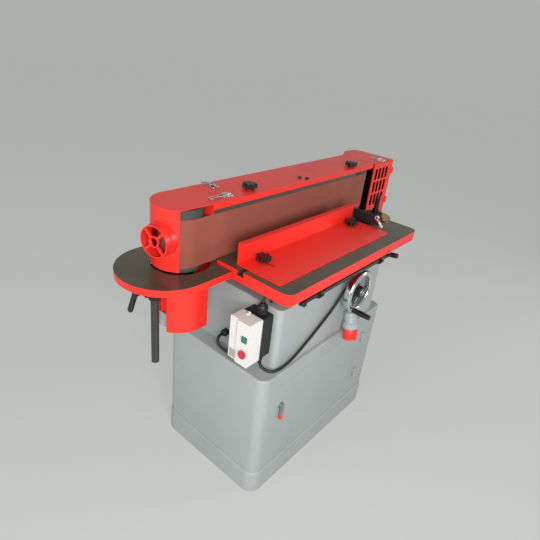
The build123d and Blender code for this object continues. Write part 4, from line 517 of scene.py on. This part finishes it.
# %% [markdown]
# ## Painted shade inside the covers
# The right cover is red outside, and its inside is painted near black as painted shade, for the shade that
# falls within it. The cover is one folded sheet, so one material has to tell its two sides apart, and a face
# belongs to the inside when it lies within the cover's outer skin: below its top, before its sloped back,
# within its round corner and its end, and behind its front. The base plate gets the same painted shade where
# it runs under the two end covers. Both finishes are copies of the red enamel with a mask added.

# %% Painted shade on the base plate and inside the right cover
# Near black that stands in for the shade inside and under the covers: painted shade.
PAINTED_SHADE = "#150E0C"
CLEAN_MIDDLE, CLEAN_HALF = -0.02, 0.42
SKIN = 0.001
BACK_SKIN = 0.0012
RIGHT_COVER_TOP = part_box("right_end_cover")[1].z
COVER_FRONT = 0.0061
SLOPE_X, SLOPE_Y, SLOPE = 0.525, 0.168, 0.5067
CORNER_X, CORNER_Y, CORNER_RADIUS = 0.650, 0.166, 0.040


# Paints shade: the red enamel turns near black where the mask is one.
def shade_painted_enamel(name, painted_shade_where):
    """A copy of the red enamel, near black as painted shade where a mask made from the coordinates is one."""
    material = red_enamel.copy()
    material.name = name
    tree = material.node_tree
    shader = tree.nodes["Principled BSDF"]
    painted = shader.inputs["Base Color"].links[0].from_socket
    mask = painted_shade_where(tree, add(tree, "ShaderNodeTexCoord").outputs["Object"])
    colour = add(tree, "ShaderNodeMix", {"Factor": mask, "A": painted, "B": linear(PAINTED_SHADE)}, data_type="RGBA")
    fill(tree, shader, {"Base Color": colour.outputs[2]})
    return material


# Painted shade on the base plate where it runs under the end covers.
def under_end_covers(tree, place):
    """One where the base plate runs under an end cover, nought between them."""
    along = add(tree, "ShaderNodeSeparateXYZ", {"Vector": place}).outputs["X"]
    clean = add(tree, "ShaderNodeMath", {0: along, 1: CLEAN_MIDDLE, 2: CLEAN_HALF}, operation="COMPARE")
    return add(tree, "ShaderNodeMath", {0: 1.0, 1: clean.outputs[0]}, operation="SUBTRACT").outputs[0]


# Painted shade on the right cover's inside faces.
def inside_right_cover(tree, place):
    """One within the right cover's outer skin, nought on it."""
    axes = add(tree, "ShaderNodeSeparateXYZ", {"Vector": place}).outputs
    slope_line = {0: axes["X"], 1: SLOPE, 2: SLOPE_Y - SLOPE_X * SLOPE - BACK_SKIN}
    back = add(tree, "ShaderNodeMath", slope_line, operation="MULTIPLY_ADD").outputs[0]
    corner = (CORNER_X, CORNER_Y, 0)
    outward = add(tree, "ShaderNodeVectorMath", {0: place, 1: corner}, operation="MAXIMUM").outputs[0]
    within = add(tree, "ShaderNodeMath", {0: axes["Y"], 1: COVER_FRONT}, operation="GREATER_THAN").outputs[0]
    for value, limit in (
        (axes["Z"], RIGHT_COVER_TOP - SKIN),
        (axes["Y"], back),
        (from_axis(tree, outward, corner, ACROSS_Z), CORNER_RADIUS - SKIN),
        (axes["X"], CORNER_X + CORNER_RADIUS - SKIN),
    ):
        below = add(tree, "ShaderNodeMath", {0: value, 1: limit}, operation="LESS_THAN").outputs[0]
        within = add(tree, "ShaderNodeMath", {0: within, 1: below}, operation="MULTIPLY").outputs[0]
    return within


# Two red enamels with painted shade: the base plate under the end covers, the right cover's inside.
base_painted_shade = shade_painted_enamel("red_enamel_painted_shade_end", under_end_covers)
cover_painted_shade = shade_painted_enamel("red_enamel_painted_shade_inside", inside_right_cover)
print("painted shade finishes:", base_painted_shade.name, cover_painted_shade.name)

# %% [markdown]
# ## Each solid gets its finish
# The solids whose shape is already right only need their material. Each line could set one solid, but a
# table from finish to solids reads like a paint schedule.

# %% Paint schedule for the solids
SCHEDULE = {
    red_enamel: ["motor_guard", "top_cover", "rear_guard", "left_end_cover", "grille_door", "motor_body",
                 "edge_fence", "dust_port", "head_beam"],
    # Red enamel with painted shade on the right cover's inside.
    cover_painted_shade: ["right_end_cover"],
    # Red enamel with painted shade where the base plate runs under the end covers.
    base_painted_shade: ["head_base"],
    stand_enamel: ["base_plinth", "lower_cabinet", "cabinet_door", "upper_frame", "motor_fan_cover"],
    table_iron: ["main_table"],
    end_iron: ["end_table"],
    abrasive_cloth: ["sanding_belt"],
    turned_steel: ["column_bushes", "guide_columns", "lift_screw", "gear_nut", "handwheel_shaft",
                   "fence_t_bolts", "gauge_bar", "drive_spindle", "table_saddle"],
    zinc_plate: ["cover_latches"],
    handle_finish: ["door_latch"],
    polished_lever: ["gauge_lever"],
    scale_finish: ["gauge_scale"],
    platen_graphite: ["platen"],
    drum_rubber: ["drive_drum", "idler_drum"],
    wheel_finish: ["handwheel"],
    satin_black: ["lock_bar", "lock_bar_brackets", "clamp_lever", "post_clamp", "cover_bolts",
                  "tension_slide"],
    gauge_black: ["gauge_head"],
    post_black: ["end_table_post"],
    black_knob: ["fence_knob_left", "fence_knob_right", "top_knob_left", "top_knob_right", "tension_knob",
                 "gauge_handle", "crank_handle"],
    black_box: ["switch_base", "cable_glands"],
    white_box: ["switch_cover"],
    green_key: ["on_button"],
    red_key: ["off_button"],
    grey_plug: ["plug_body"],
    red_plug: ["plug_shroud"],
    cord_rubber: ["switch_leads", "mains_cord"],
}
for finish, names in SCHEDULE.items():
    for name in names:
        nodes[name].data.materials.clear()
        nodes[name].data.materials.append(finish)
print("solids painted:", sum(len(names) for names in SCHEDULE.values()), "of", len(nodes))

# %% [markdown]
# ## The mains cord
# The cord leaves the switch box's lower gland, dips, climbs across the front of the stand, passes over the
# handwheel's shaft and hangs down to its plug. A curve with handles would need two of them at every point,
# so the route is a NURBS spline, whose control points pull the line towards them. That gives one smooth
# line, as a stiff rubber cord has, and a bevel makes it round. The two short leads of the switch box are
# made the same way.

# %% Mains cord and switch leads
CORD_THICK, TOP_LEAD_THICK = 0.010, 0.007
SPLINE_ORDER, SPLINE_STEPS, ROUND_STEPS = 3, 12, 5
PLUG_TOP = Vector((82, -242, 623))
PLUG_WAY = Vector((-0.12, -0.24, -0.964)).normalized()
CORD_LAST_RUN, CORD_IN_PLUG = 34, 8
MAINS_ROUTE = [
    (-346, -178, 564), (-346, -178, 550), (-345, -190, 539), (-340, -208, 533), (-328, -223, 531),
    (-302, -231, 533), (-262, -234, 542), (-222, -234, 556), (-174, -234, 579), (-126, -234, 605),
    (-78, -234, 633), (-32, -234, 662), (2, -234, 692), (30, -235, 718), (58, -236, 732), (86, -237, 728),
    (97, -237, 699), PLUG_TOP - PLUG_WAY * CORD_LAST_RUN, PLUG_TOP, PLUG_TOP + PLUG_WAY * CORD_IN_PLUG,
]
TOP_ROUTE = [(-340, -162, 765), (-340, -162, 778), (-320, -162, 796), (-300, -162, 778), (-300, -162, 750)]
REAR_ROUTE = [
    (-342, -3, 566), (-358, -3, 566), (-368, -8, 548), (-365, -24, 531), (-355, -47, 522), (-346, -74, 522),
    (-341, -98, 530), (-341, -113, 545), (-341, -116, 564), (-341, -116, 580),
]


def cable(name, route_mm, thickness):
    """A round rubber cable along a route given in millimetres, as one NURBS spline."""
    curve = bpy.data.curves.new(name, "CURVE")
    curve.dimensions = "3D"
    spline = curve.splines.new("NURBS")
    spline.points.add(len(route_mm) - 1)
    for point, (x, y, z) in zip(spline.points, route_mm):
        point.co = (x * MM, y * MM, z * MM, 1)
    spline.order_u = SPLINE_ORDER
    spline.use_endpoint_u = True
    spline.resolution_u = SPLINE_STEPS
    curve.bevel_depth = thickness / 2
    curve.bevel_resolution = ROUND_STEPS
    curve.materials.append(cord_rubber)
    piece = bpy.data.objects.new(name, curve)
    scene.collection.objects.link(piece)
    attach(piece, "stand")
    return piece


mains_cord = cable("mains_cord_line", MAINS_ROUTE, CORD_THICK)
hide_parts("mains_cord")
top_lead = cable("top_lead_line", TOP_ROUTE, TOP_LEAD_THICK)
rear_lead = cable("rear_lead_line", REAR_ROUTE, CORD_THICK)
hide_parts("switch_leads")
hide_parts("switch_leads")
print("cables:", mains_cord.name, top_lead.name, rear_lead.name)

# %% [markdown]
# ## Tools for modelled pieces
# Small hardware is built with mesh operators. Three shapes are enough: a block with eased edges, a round
# bar, and a profile spun round an axis. A last helper merges doubles, points the faces outwards, marks
# sharp edges and hands the piece to its body. Shapes are in millimetres until that last step.

# %% Block, bar, turning and finishing helpers
MERGE_MM = 0.001
SHARP_FROM = math.radians(32)


def once(elements):
    """Mesh elements in their order, each only once."""
    return list(dict.fromkeys(elements))


def eased(bm, verts, edges, ease, place, material=0):
    """Eases a new shape's edges, moves it to its place and gives its faces a material."""
    made = bmesh.ops.bevel(bm, geom=edges, offset=ease, segments=2, profile=0.5, affect="EDGES", material=-1)
    verts = once([*made["verts"], *(v for v in verts if v.is_valid)])
    bmesh.ops.transform(bm, matrix=place, verts=verts)
    for face in once(f for v in verts for f in v.link_faces):
        face.material_index = material
    return verts


def block(bm, size, centre, ease=0.3, turn=None):
    """A box in millimetres with eased edges."""
    verts = bmesh.ops.create_cube(bm, size=1.0)["verts"]
    bmesh.ops.scale(bm, vec=size, verts=verts)
    edges = once(edge for vert in verts for edge in vert.link_edges)
    turned_by = turn.to_4x4() if turn is not None else Matrix()
    return eased(bm, verts, edges, ease, Matrix.Translation(centre) @ turned_by)


def bar(bm, start, end, radius, sides=20, ease=0.3, material=0):
    """A round or many-sided bar between two points, in millimetres."""
    start, end = Vector(start), Vector(end)
    way = end - start
    verts = bmesh.ops.create_cone(bm, cap_ends=True, cap_tris=False, segments=sides, radius1=radius,
                                  radius2=radius, depth=way.length)["verts"]
    edges = once(edge for vert in verts for edge in vert.link_edges)
    rims = [e for e in edges if abs(e.verts[0].co.z - e.verts[1].co.z) < MERGE_MM]
    along = way.to_track_quat("Z", "X").to_matrix().to_4x4()
    return eased(bm, verts, rims, ease, Matrix.Translation((start + end) / 2) @ along, material)


def turned(bm, outline, steps=48):
    """A profile of radius and height in millimetres, spun once round Z."""
    verts = [bm.verts.new((radius, 0, height)) for radius, height in outline]
    edges = [bm.edges.new(pair) for pair in zip(verts, verts[1:])]
    before = set(bm.faces)
    bmesh.ops.spin(bm, geom=verts + edges, cent=(0, 0, 0), axis=(0, 0, 1), angle=2 * math.pi, steps=steps,
                   use_merge=True, use_duplicate=False)
    return once(v for f in bm.faces if f not in before for v in f.verts)


def moved(bm, verts, place):
    """Moves the corners that are still there after merging to a place."""
    bmesh.ops.transform(bm, matrix=place, verts=once(v for v in verts if v.is_valid))


def finished(name, bm, body, finishes, replaced=(), place=None):
    """Turns a bmesh in millimetres into a piece that rides on a body."""
    bmesh.ops.remove_doubles(bm, verts=bm.verts, dist=MERGE_MM)
    bmesh.ops.recalc_face_normals(bm, faces=bm.faces)
    scaled = (place if place is not None else Matrix()) @ Matrix.Scale(MM, 4)
    bmesh.ops.transform(bm, matrix=scaled, verts=bm.verts)
    mesh = bpy.data.meshes.new(name)
    bm.to_mesh(mesh)
    bm.free()
    mesh.shade_smooth()
    mesh.set_sharp_from_angle(angle=SHARP_FROM)
    for finish in finishes:
        mesh.materials.append(finish)
    piece = bpy.data.objects.new(name, mesh)
    scene.collection.objects.link(piece)
    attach(piece, body)
    if replaced:
        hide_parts(*replaced)
    return piece


print("edges are sharp from", round(math.degrees(SHARP_FROM)), "degrees")

# %% [markdown]
# ## The plug
# An industrial five-pin plug hangs from the cord. Its grey housing has a ribbed clamping nut, a waisted
# grip and a wide flange, and a red sleeve with five pins stands below the flange. All of it is round, so
# profiles are spun about the cord's line and the ribs and pins are set round it.

# %% Plug housing and sleeve
PLUG_STEPS = 64
HOUSING = [
    (0.0, 0.0), (5.6, 0.0), (6.0, 3.0), (6.9, 8.0), (13.5, 8.6), (15.2, 9.6), (15.6, 19.0), (19.0, 20.4),
    (21.8, 23.0), (22.6, 28.0), (21.8, 42.0), (22.4, 54.0), (24.5, 60.0), (28.0, 63.0), (29.0, 64.5),
    (29.0, 81.0), (28.2, 83.0), (0.0, 83.0),
]
SLEEVE = [
    (23.8, 83.2), (26.6, 83.2), (27.0, 84.2), (27.0, 124.0), (26.2, 125.8), (24.6, 125.8), (24.0, 124.8),
    (23.8, 83.2),
]
RIBS = 20
NUT_RIB, NUT_RIB_AT = (1.6, 2.4, 8.0), Vector((15.4, 0, 14.5))
GRIP_RIB, GRIP_RIB_AT = (1.4, 2.2, 24.0), Vector((22.2, 0, 42.0))
PINS, PIN_RADIUS, PIN_SIDES = 5, 3.0, 16
PIN_FOOT, PIN_RUN = Vector((14.0, 0, 82.0)), Vector((0, 0, 38.0))
SLEEVE_KEY, SLEEVE_KEY_AT = (3.0, 7.0, 36.0), (26.9, 0, 103.0)


def about_z(step, steps):
    """The turn of one of several equal steps round Z."""
    return Matrix.Rotation(2 * math.pi * step / steps, 3, "Z")


plug_place = Matrix.Translation(PLUG_TOP * MM) @ PLUG_WAY.to_track_quat("Z", "X").to_matrix().to_4x4()
bm = bmesh.new()
turned(bm, HOUSING, PLUG_STEPS)
for rib in range(RIBS):
    turn = about_z(rib, RIBS)
    block(bm, NUT_RIB, turn @ NUT_RIB_AT, ease=0.5, turn=turn)
    block(bm, GRIP_RIB, turn @ GRIP_RIB_AT, ease=0.4, turn=turn)
for pin in range(PINS):
    foot = about_z(pin, PINS) @ PIN_FOOT
    bar(bm, foot, foot + PIN_RUN, PIN_RADIUS, PIN_SIDES, ease=0.6, material=1)
plug_housing = finished("plug_housing", bm, "stand", [grey_plug, turned_steel], ["plug_body"],
                        plug_place)
bm = bmesh.new()
turned(bm, SLEEVE, PLUG_STEPS)
block(bm, SLEEVE_KEY, SLEEVE_KEY_AT, ease=1.0)
plug_sleeve = finished("plug_sleeve", bm, "stand", [red_plug], ["plug_shroud"], plug_place)
print("plug faces:", len(plug_housing.data.polygons), len(plug_sleeve.data.polygons))

# %% [markdown]
# ## Cable glands
# A gland is a hexagon screwed into the housing, a ribbed dome nut on top of it and a short lip round the
# cable. The three glands differ only in size and direction, so their outline and ribs are written in
# shares of the radius and the length. The one for the mains cord also carries a tapered sleeve that keeps
# the cord from kinking where it leaves.

# %% Three glands and a strain relief
UP = Matrix()
DOWN = Matrix.Rotation(math.pi, 4, "X")
LEFT = Matrix.Rotation(-math.pi / 2, 4, "Y")
GLANDS = [  # foot, direction, radius and length
    (Vector((-346, -178, 580)), DOWN, 9, 16),
    (Vector((-340, -162, 729)), UP, 17, 36),
    (Vector((-318, -3, 566)), LEFT, 13, 24),
]
GLAND_RIBS, HEXAGON_SHARE = 16, 0.26
GLAND_RIB, GLAND_RIB_AT = Vector((0.1, 0.14, 0.3)), Vector((0.93, 0, 0.56))
DOME = [
    (0.0, 0.2), (0.78, 0.2), (0.78, 0.36), (0.9, 0.37), (0.93, 0.42), (0.9, 0.72), (0.72, 0.86), (0.56, 0.9),
    (0.5, 1.0), (0.0, 1.0),
]
RELIEF = [
    (0.0, 0.0), (7.4, 0.0), (7.6, 2.0), (6.9, 4.0), (7.3, 6.0), (6.6, 8.0), (7.0, 10.0), (6.3, 12.0),
    (6.6, 14.0), (6.0, 16.0), (6.1, 21.0), (5.6, 22.0), (0.0, 22.0),
]
RELIEF_STEPS, RELIEF_INTO_GLAND = 40, 4.5


def gland(bm, place, radius, length):
    """A gland of hexagon, ribbed dome nut and lip along Z, then moved to its place."""
    whole = Vector((radius, radius, length))
    verts = bar(bm, (0, 0, 0), (0, 0, HEXAGON_SHARE * length), radius, sides=6, ease=0.8)
    verts += turned(bm, [(r * radius, z * length) for r, z in DOME])
    for rib in range(GLAND_RIBS):
        turn = about_z(rib, GLAND_RIBS)
        verts += block(bm, GLAND_RIB * whole, turn @ (GLAND_RIB_AT * whole), turn=turn)
    moved(bm, verts, place)


bm = bmesh.new()
for at, turn, radius, length in GLANDS:
    gland(bm, Matrix.Translation(at) @ turn, radius, length)
glands = finished("gland_nuts", bm, "stand", [black_box], ["cable_glands"])
bm = bmesh.new()
turned(bm, RELIEF, RELIEF_STEPS)
relief_at = (GLANDS[0][0] - Vector((0, 0, RELIEF_INTO_GLAND))) * MM
relief = finished("cord_relief", bm, "stand", [cord_rubber], (),
                  Matrix.Translation(relief_at) @ DOWN)
print("gland faces:", len(glands.data.polygons), "relief faces:", len(relief.data.polygons))

# %% [markdown]
# ## Draw latches
# Three zinc-plated draw latches hold the covers. Each has a base plate with four rivets, two cheeks, a
# lever with a turned-down lip, and a wire loop that reaches over a hook. The parts are eased blocks and round
# bars in the latch's own frame, where X runs back along the base, and a matrix sets each latch on its
# cover. Copies of one mesh would be shorter, but the three differ in length, so a function makes each.

# %% Draw latches on the covers
COVERS_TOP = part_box("top_cover")[1].z / MM
LATCHES = [  # place on the covers, turn in degrees, length of the base, reach of the loop
    ((-339, 42), 0, 38, 50),
    ((-294, 168), -90, 58, 8),
    ((611, 14), 90, 56, 10),
]
CHEEK_SHARE, LEVER_SHARE = 0.5, 0.62  # lengths, in shares of the base
PIVOT_AT, LOOP_AT, CHEEK_AT, LEVER_AT, LIP_AT = 0.26, 0.3, 0.42, 0.6, 0.91  # along the base, in shares
PLATE_WIDTH, PLATE_THICK, PLATE_Z = 25, 1.6, 0.9
RIVET_IN, RIVET_ASIDE, RIVET_LOW, RIVET_HIGH, RIVET_RADIUS = 4, 9.5, 1.4, 3.0, 2.1
CHEEK_ASIDE, CHEEK_THICK, CHEEK_HIGH, CHEEK_Z = 7.2, 1.4, 7.0, 4.6
LEVER_WIDTH, LEVER_THICK, LEVER_Z, LEVER_TILT = 11.5, 1.5, 5.8, math.radians(-4)
LIP_HIGH, LIP_Z = 3.4, 5.2
PIVOT_HALF, PIVOT_Z, PIVOT_RADIUS = 9, 4.8, 1.6
LOOP_ASIDE, LOOP_Z, WIRE_RADIUS = 5.4, 4.2, 1.5
HOOK_PLATE, HOOK_PLATE_IN = (9, 20, 1.4), 5.2
HOOK, HOOK_IN, HOOK_Z = (1.6, 14, 5.4), 4.2, 3.4
ROUND_SIDES = 14
MIRROR_Y = Vector((1, -1, 1))


def draw_latch(bm, place, base, reach):
    """A closed draw latch: plate, rivets, cheeks, lever, wire loop and hook, in millimetres."""
    verts = block(bm, (base, PLATE_WIDTH, PLATE_THICK), (base / 2, 0, PLATE_Z), ease=0.6)
    for x in (RIVET_IN, base - RIVET_IN):
        for y in (-RIVET_ASIDE, RIVET_ASIDE):
            verts += bar(bm, (x, y, RIVET_LOW), (x, y, RIVET_HIGH), RIVET_RADIUS, ROUND_SIDES, ease=0.7)
    for y in (-CHEEK_ASIDE, CHEEK_ASIDE):
        cheek = (CHEEK_SHARE * base, CHEEK_THICK, CHEEK_HIGH)
        verts += block(bm, cheek, (CHEEK_AT * base, y, CHEEK_Z), ease=0.4)
    tilt = Matrix.Rotation(LEVER_TILT, 3, "Y")
    lever = (LEVER_SHARE * base, LEVER_WIDTH, LEVER_THICK)
    verts += block(bm, lever, (LEVER_AT * base, 0, LEVER_Z), ease=0.5, turn=tilt)
    verts += block(bm, (LEVER_THICK, LEVER_WIDTH, LIP_HIGH), (LIP_AT * base, 0, LIP_Z), ease=0.5)
    pivot = Vector((PIVOT_AT * base, PIVOT_HALF, PIVOT_Z))
    verts += bar(bm, pivot * MIRROR_Y, pivot, PIVOT_RADIUS, ROUND_SIDES)
    loop_end = WIRE_RADIUS - reach
    for y in (-LOOP_ASIDE, LOOP_ASIDE):
        verts += bar(bm, (LOOP_AT * base, y, LOOP_Z), (loop_end, y, LOOP_Z), WIRE_RADIUS, ROUND_SIDES)
    corner = Vector((loop_end, LOOP_ASIDE + WIRE_RADIUS, LOOP_Z))
    verts += bar(bm, corner * MIRROR_Y, corner, WIRE_RADIUS, ROUND_SIDES)
    verts += block(bm, HOOK_PLATE, (HOOK_PLATE_IN - reach, 0, PLATE_Z), ease=0.5)
    verts += block(bm, HOOK, (HOOK_IN - reach, 0, HOOK_Z), ease=0.5)
    moved(bm, verts, place)


bm = bmesh.new()
for (x, y), turn, base, reach in LATCHES:
    on_cover = Matrix.Translation((x, y, COVERS_TOP)) @ Matrix.Rotation(math.radians(turn), 4, "Z")
    draw_latch(bm, on_cover, base, reach)
latches = finished("draw_latches", bm, "stand", [zinc_plate], ["cover_latches"])
print("latch faces:", len(latches.data.polygons))

# %% [markdown]
# ## Small fittings on the switch box and the wheel
# The white box has a plain plate on its front and a catch at the seam of its two halves. The wheel's shaft
# ends in a washer and a nut. All of them are eased blocks and bars that sit on the solids, and the nut
# rides on the wheel, so it turns with it.

# %% Plate, catch and wheel nut
PLATE_SIZE, PLATE_AT = (0.8, 33, 30), (-414.3, -124, 594)
CATCH_LIP, CATCH_LIP_AT = (10, 9, 5), (-374, -137, 728.5)
CATCH_FOOT, CATCH_FOOT_AT = (4, 9, 10), (-369, -137, 729)
WASHER_FROM, WASHER_TO, WASHER_RADIUS = -276.9, -278.6, 13.5
NUT_FROM, NUT_TO, NUT_RADIUS = -278.5, -285.5, 9.0


def along_shaft(y):
    """A point on the wheel's shaft, in millimetres."""
    shaft = hinge_at["handwheel_turn"] / MM
    return Vector((shaft.x, y, shaft.z))


bm = bmesh.new()
block(bm, PLATE_SIZE, PLATE_AT, ease=0.2)
blank_plate = finished("blank_plate", bm, "stand", [plate_plastic])
bm = bmesh.new()
block(bm, CATCH_LIP, CATCH_LIP_AT, ease=1.0)
block(bm, CATCH_FOOT, CATCH_FOOT_AT, ease=1.0)
box_catch = finished("box_catch", bm, "stand", [white_box])
bm = bmesh.new()
bar(bm, along_shaft(WASHER_FROM), along_shaft(WASHER_TO), WASHER_RADIUS, sides=36, ease=0.4)
bar(bm, along_shaft(NUT_FROM), along_shaft(NUT_TO), NUT_RADIUS, sides=6, ease=0.7)
wheel_nut = finished("wheel_nut", bm, "handwheel_unit", [turned_steel])
print("fittings:", blank_plate.name, box_catch.name, wheel_nut.name)

# %% [markdown]
# ## Floor and light
# A plain pale floor and soft lamps show the shapes without drama. The photographer's light came from beside
# the camera, so the large key lamp hangs there, two weaker lamps fill the shadows and a small one lights
# the front edges. What the camera sees of the floor is partly a fixed pale tone, which keeps the far floor
# as pale as the near one, and the background has the far floor's tone, so that no horizon shows. The rest
# of the floor's look is real light, with the shadow.

# %% Pale floor and background
PALE, FAR_TONE, SOFT_TONE = "#C6C9C5", "#ADB0AC", "#D9DCDA"
FIXED_SHARE, SOFT_STRENGTH = 0.6, 0.42
FLOOR_HALF = 40  # in metres


def seen_directly(tree):
    """One for rays from the camera, from mirrors and through glass; nought for light on the object."""
    path = add(tree, "ShaderNodeLightPath").outputs
    seen = path["Is Camera Ray"]
    for ray in ("Is Glossy Ray", "Is Transmission Ray"):
        seen = add(tree, "ShaderNodeMath", {0: seen, 1: path[ray]}, operation="MAXIMUM").outputs[0]
    return seen


floor_finish, tree, shader = new_finish("pale_floor", PALE, {"Roughness": 0.8})
fixed = add(tree, "ShaderNodeEmission", {"Color": linear(PALE), "Strength": 1.0})
share = add(tree, "ShaderNodeMath", {0: seen_directly(tree), 1: FIXED_SHARE}, operation="MULTIPLY")
blend = add(tree, "ShaderNodeMixShader", {0: share.outputs[0], 1: shader.outputs[0], 2: fixed.outputs[0]})
fill(tree, tree.nodes["Material Output"], {"Surface": blend.outputs[0]})
floor_bm = bmesh.new()
bmesh.ops.create_grid(floor_bm, x_segments=1, y_segments=1, size=FLOOR_HALF)
floor_mesh = bpy.data.meshes.new("floor")
floor_bm.to_mesh(floor_mesh)
floor_bm.free()
floor_mesh.materials.append(floor_finish)
floor = bpy.data.objects.new("floor", floor_mesh)
scene.collection.objects.link(floor)

world = bpy.data.worlds.new("studio")
scene.world = world
world.use_nodes = True
tree = world.node_tree
soft_light = tree.nodes["Background"]
fill(tree, soft_light, {"Color": linear(SOFT_TONE), "Strength": SOFT_STRENGTH})
backdrop = add(tree, "ShaderNodeBackground", {"Color": linear(FAR_TONE), "Strength": 1.0})
blend = add(tree, "ShaderNodeMixShader", {
    0: seen_directly(tree), 1: soft_light.outputs[0], 2: backdrop.outputs[0],
})
fill(tree, tree.nodes["World Output"], {"Surface": blend.outputs[0]})
print("floor and background:", floor.name, world.name)

# %% Lamps
LAMPS = {  # place, aim, size and power in watts
    "key": ((-1.7, -1.8, 1.6), (0, 0, 0.65), 1.3, 70),
    "left_fill": ((-3.0, 0.3, 1.4), (0, 0, 0.6), 1.8, 22),
    "top": ((0.4, 0.6, 3.4), (0, 0, 0.8), 2.2, 10),
    "right_edge": ((2.1, -1.7, 1.35), (0, -0.1, 0.6), 0.7, 14),
}
for name, (place, aim, size, watts) in LAMPS.items():
    light = bpy.data.lights.new(name, "AREA")
    light.size = size
    light.energy = watts
    lamp = bpy.data.objects.new(name, light)
    scene.collection.objects.link(lamp)
    lamp.location = place
    lamp.rotation_euler = (Vector(aim) - Vector(place)).to_track_quat("-Z", "Y").to_euler()
print("lamps:", list(LAMPS))
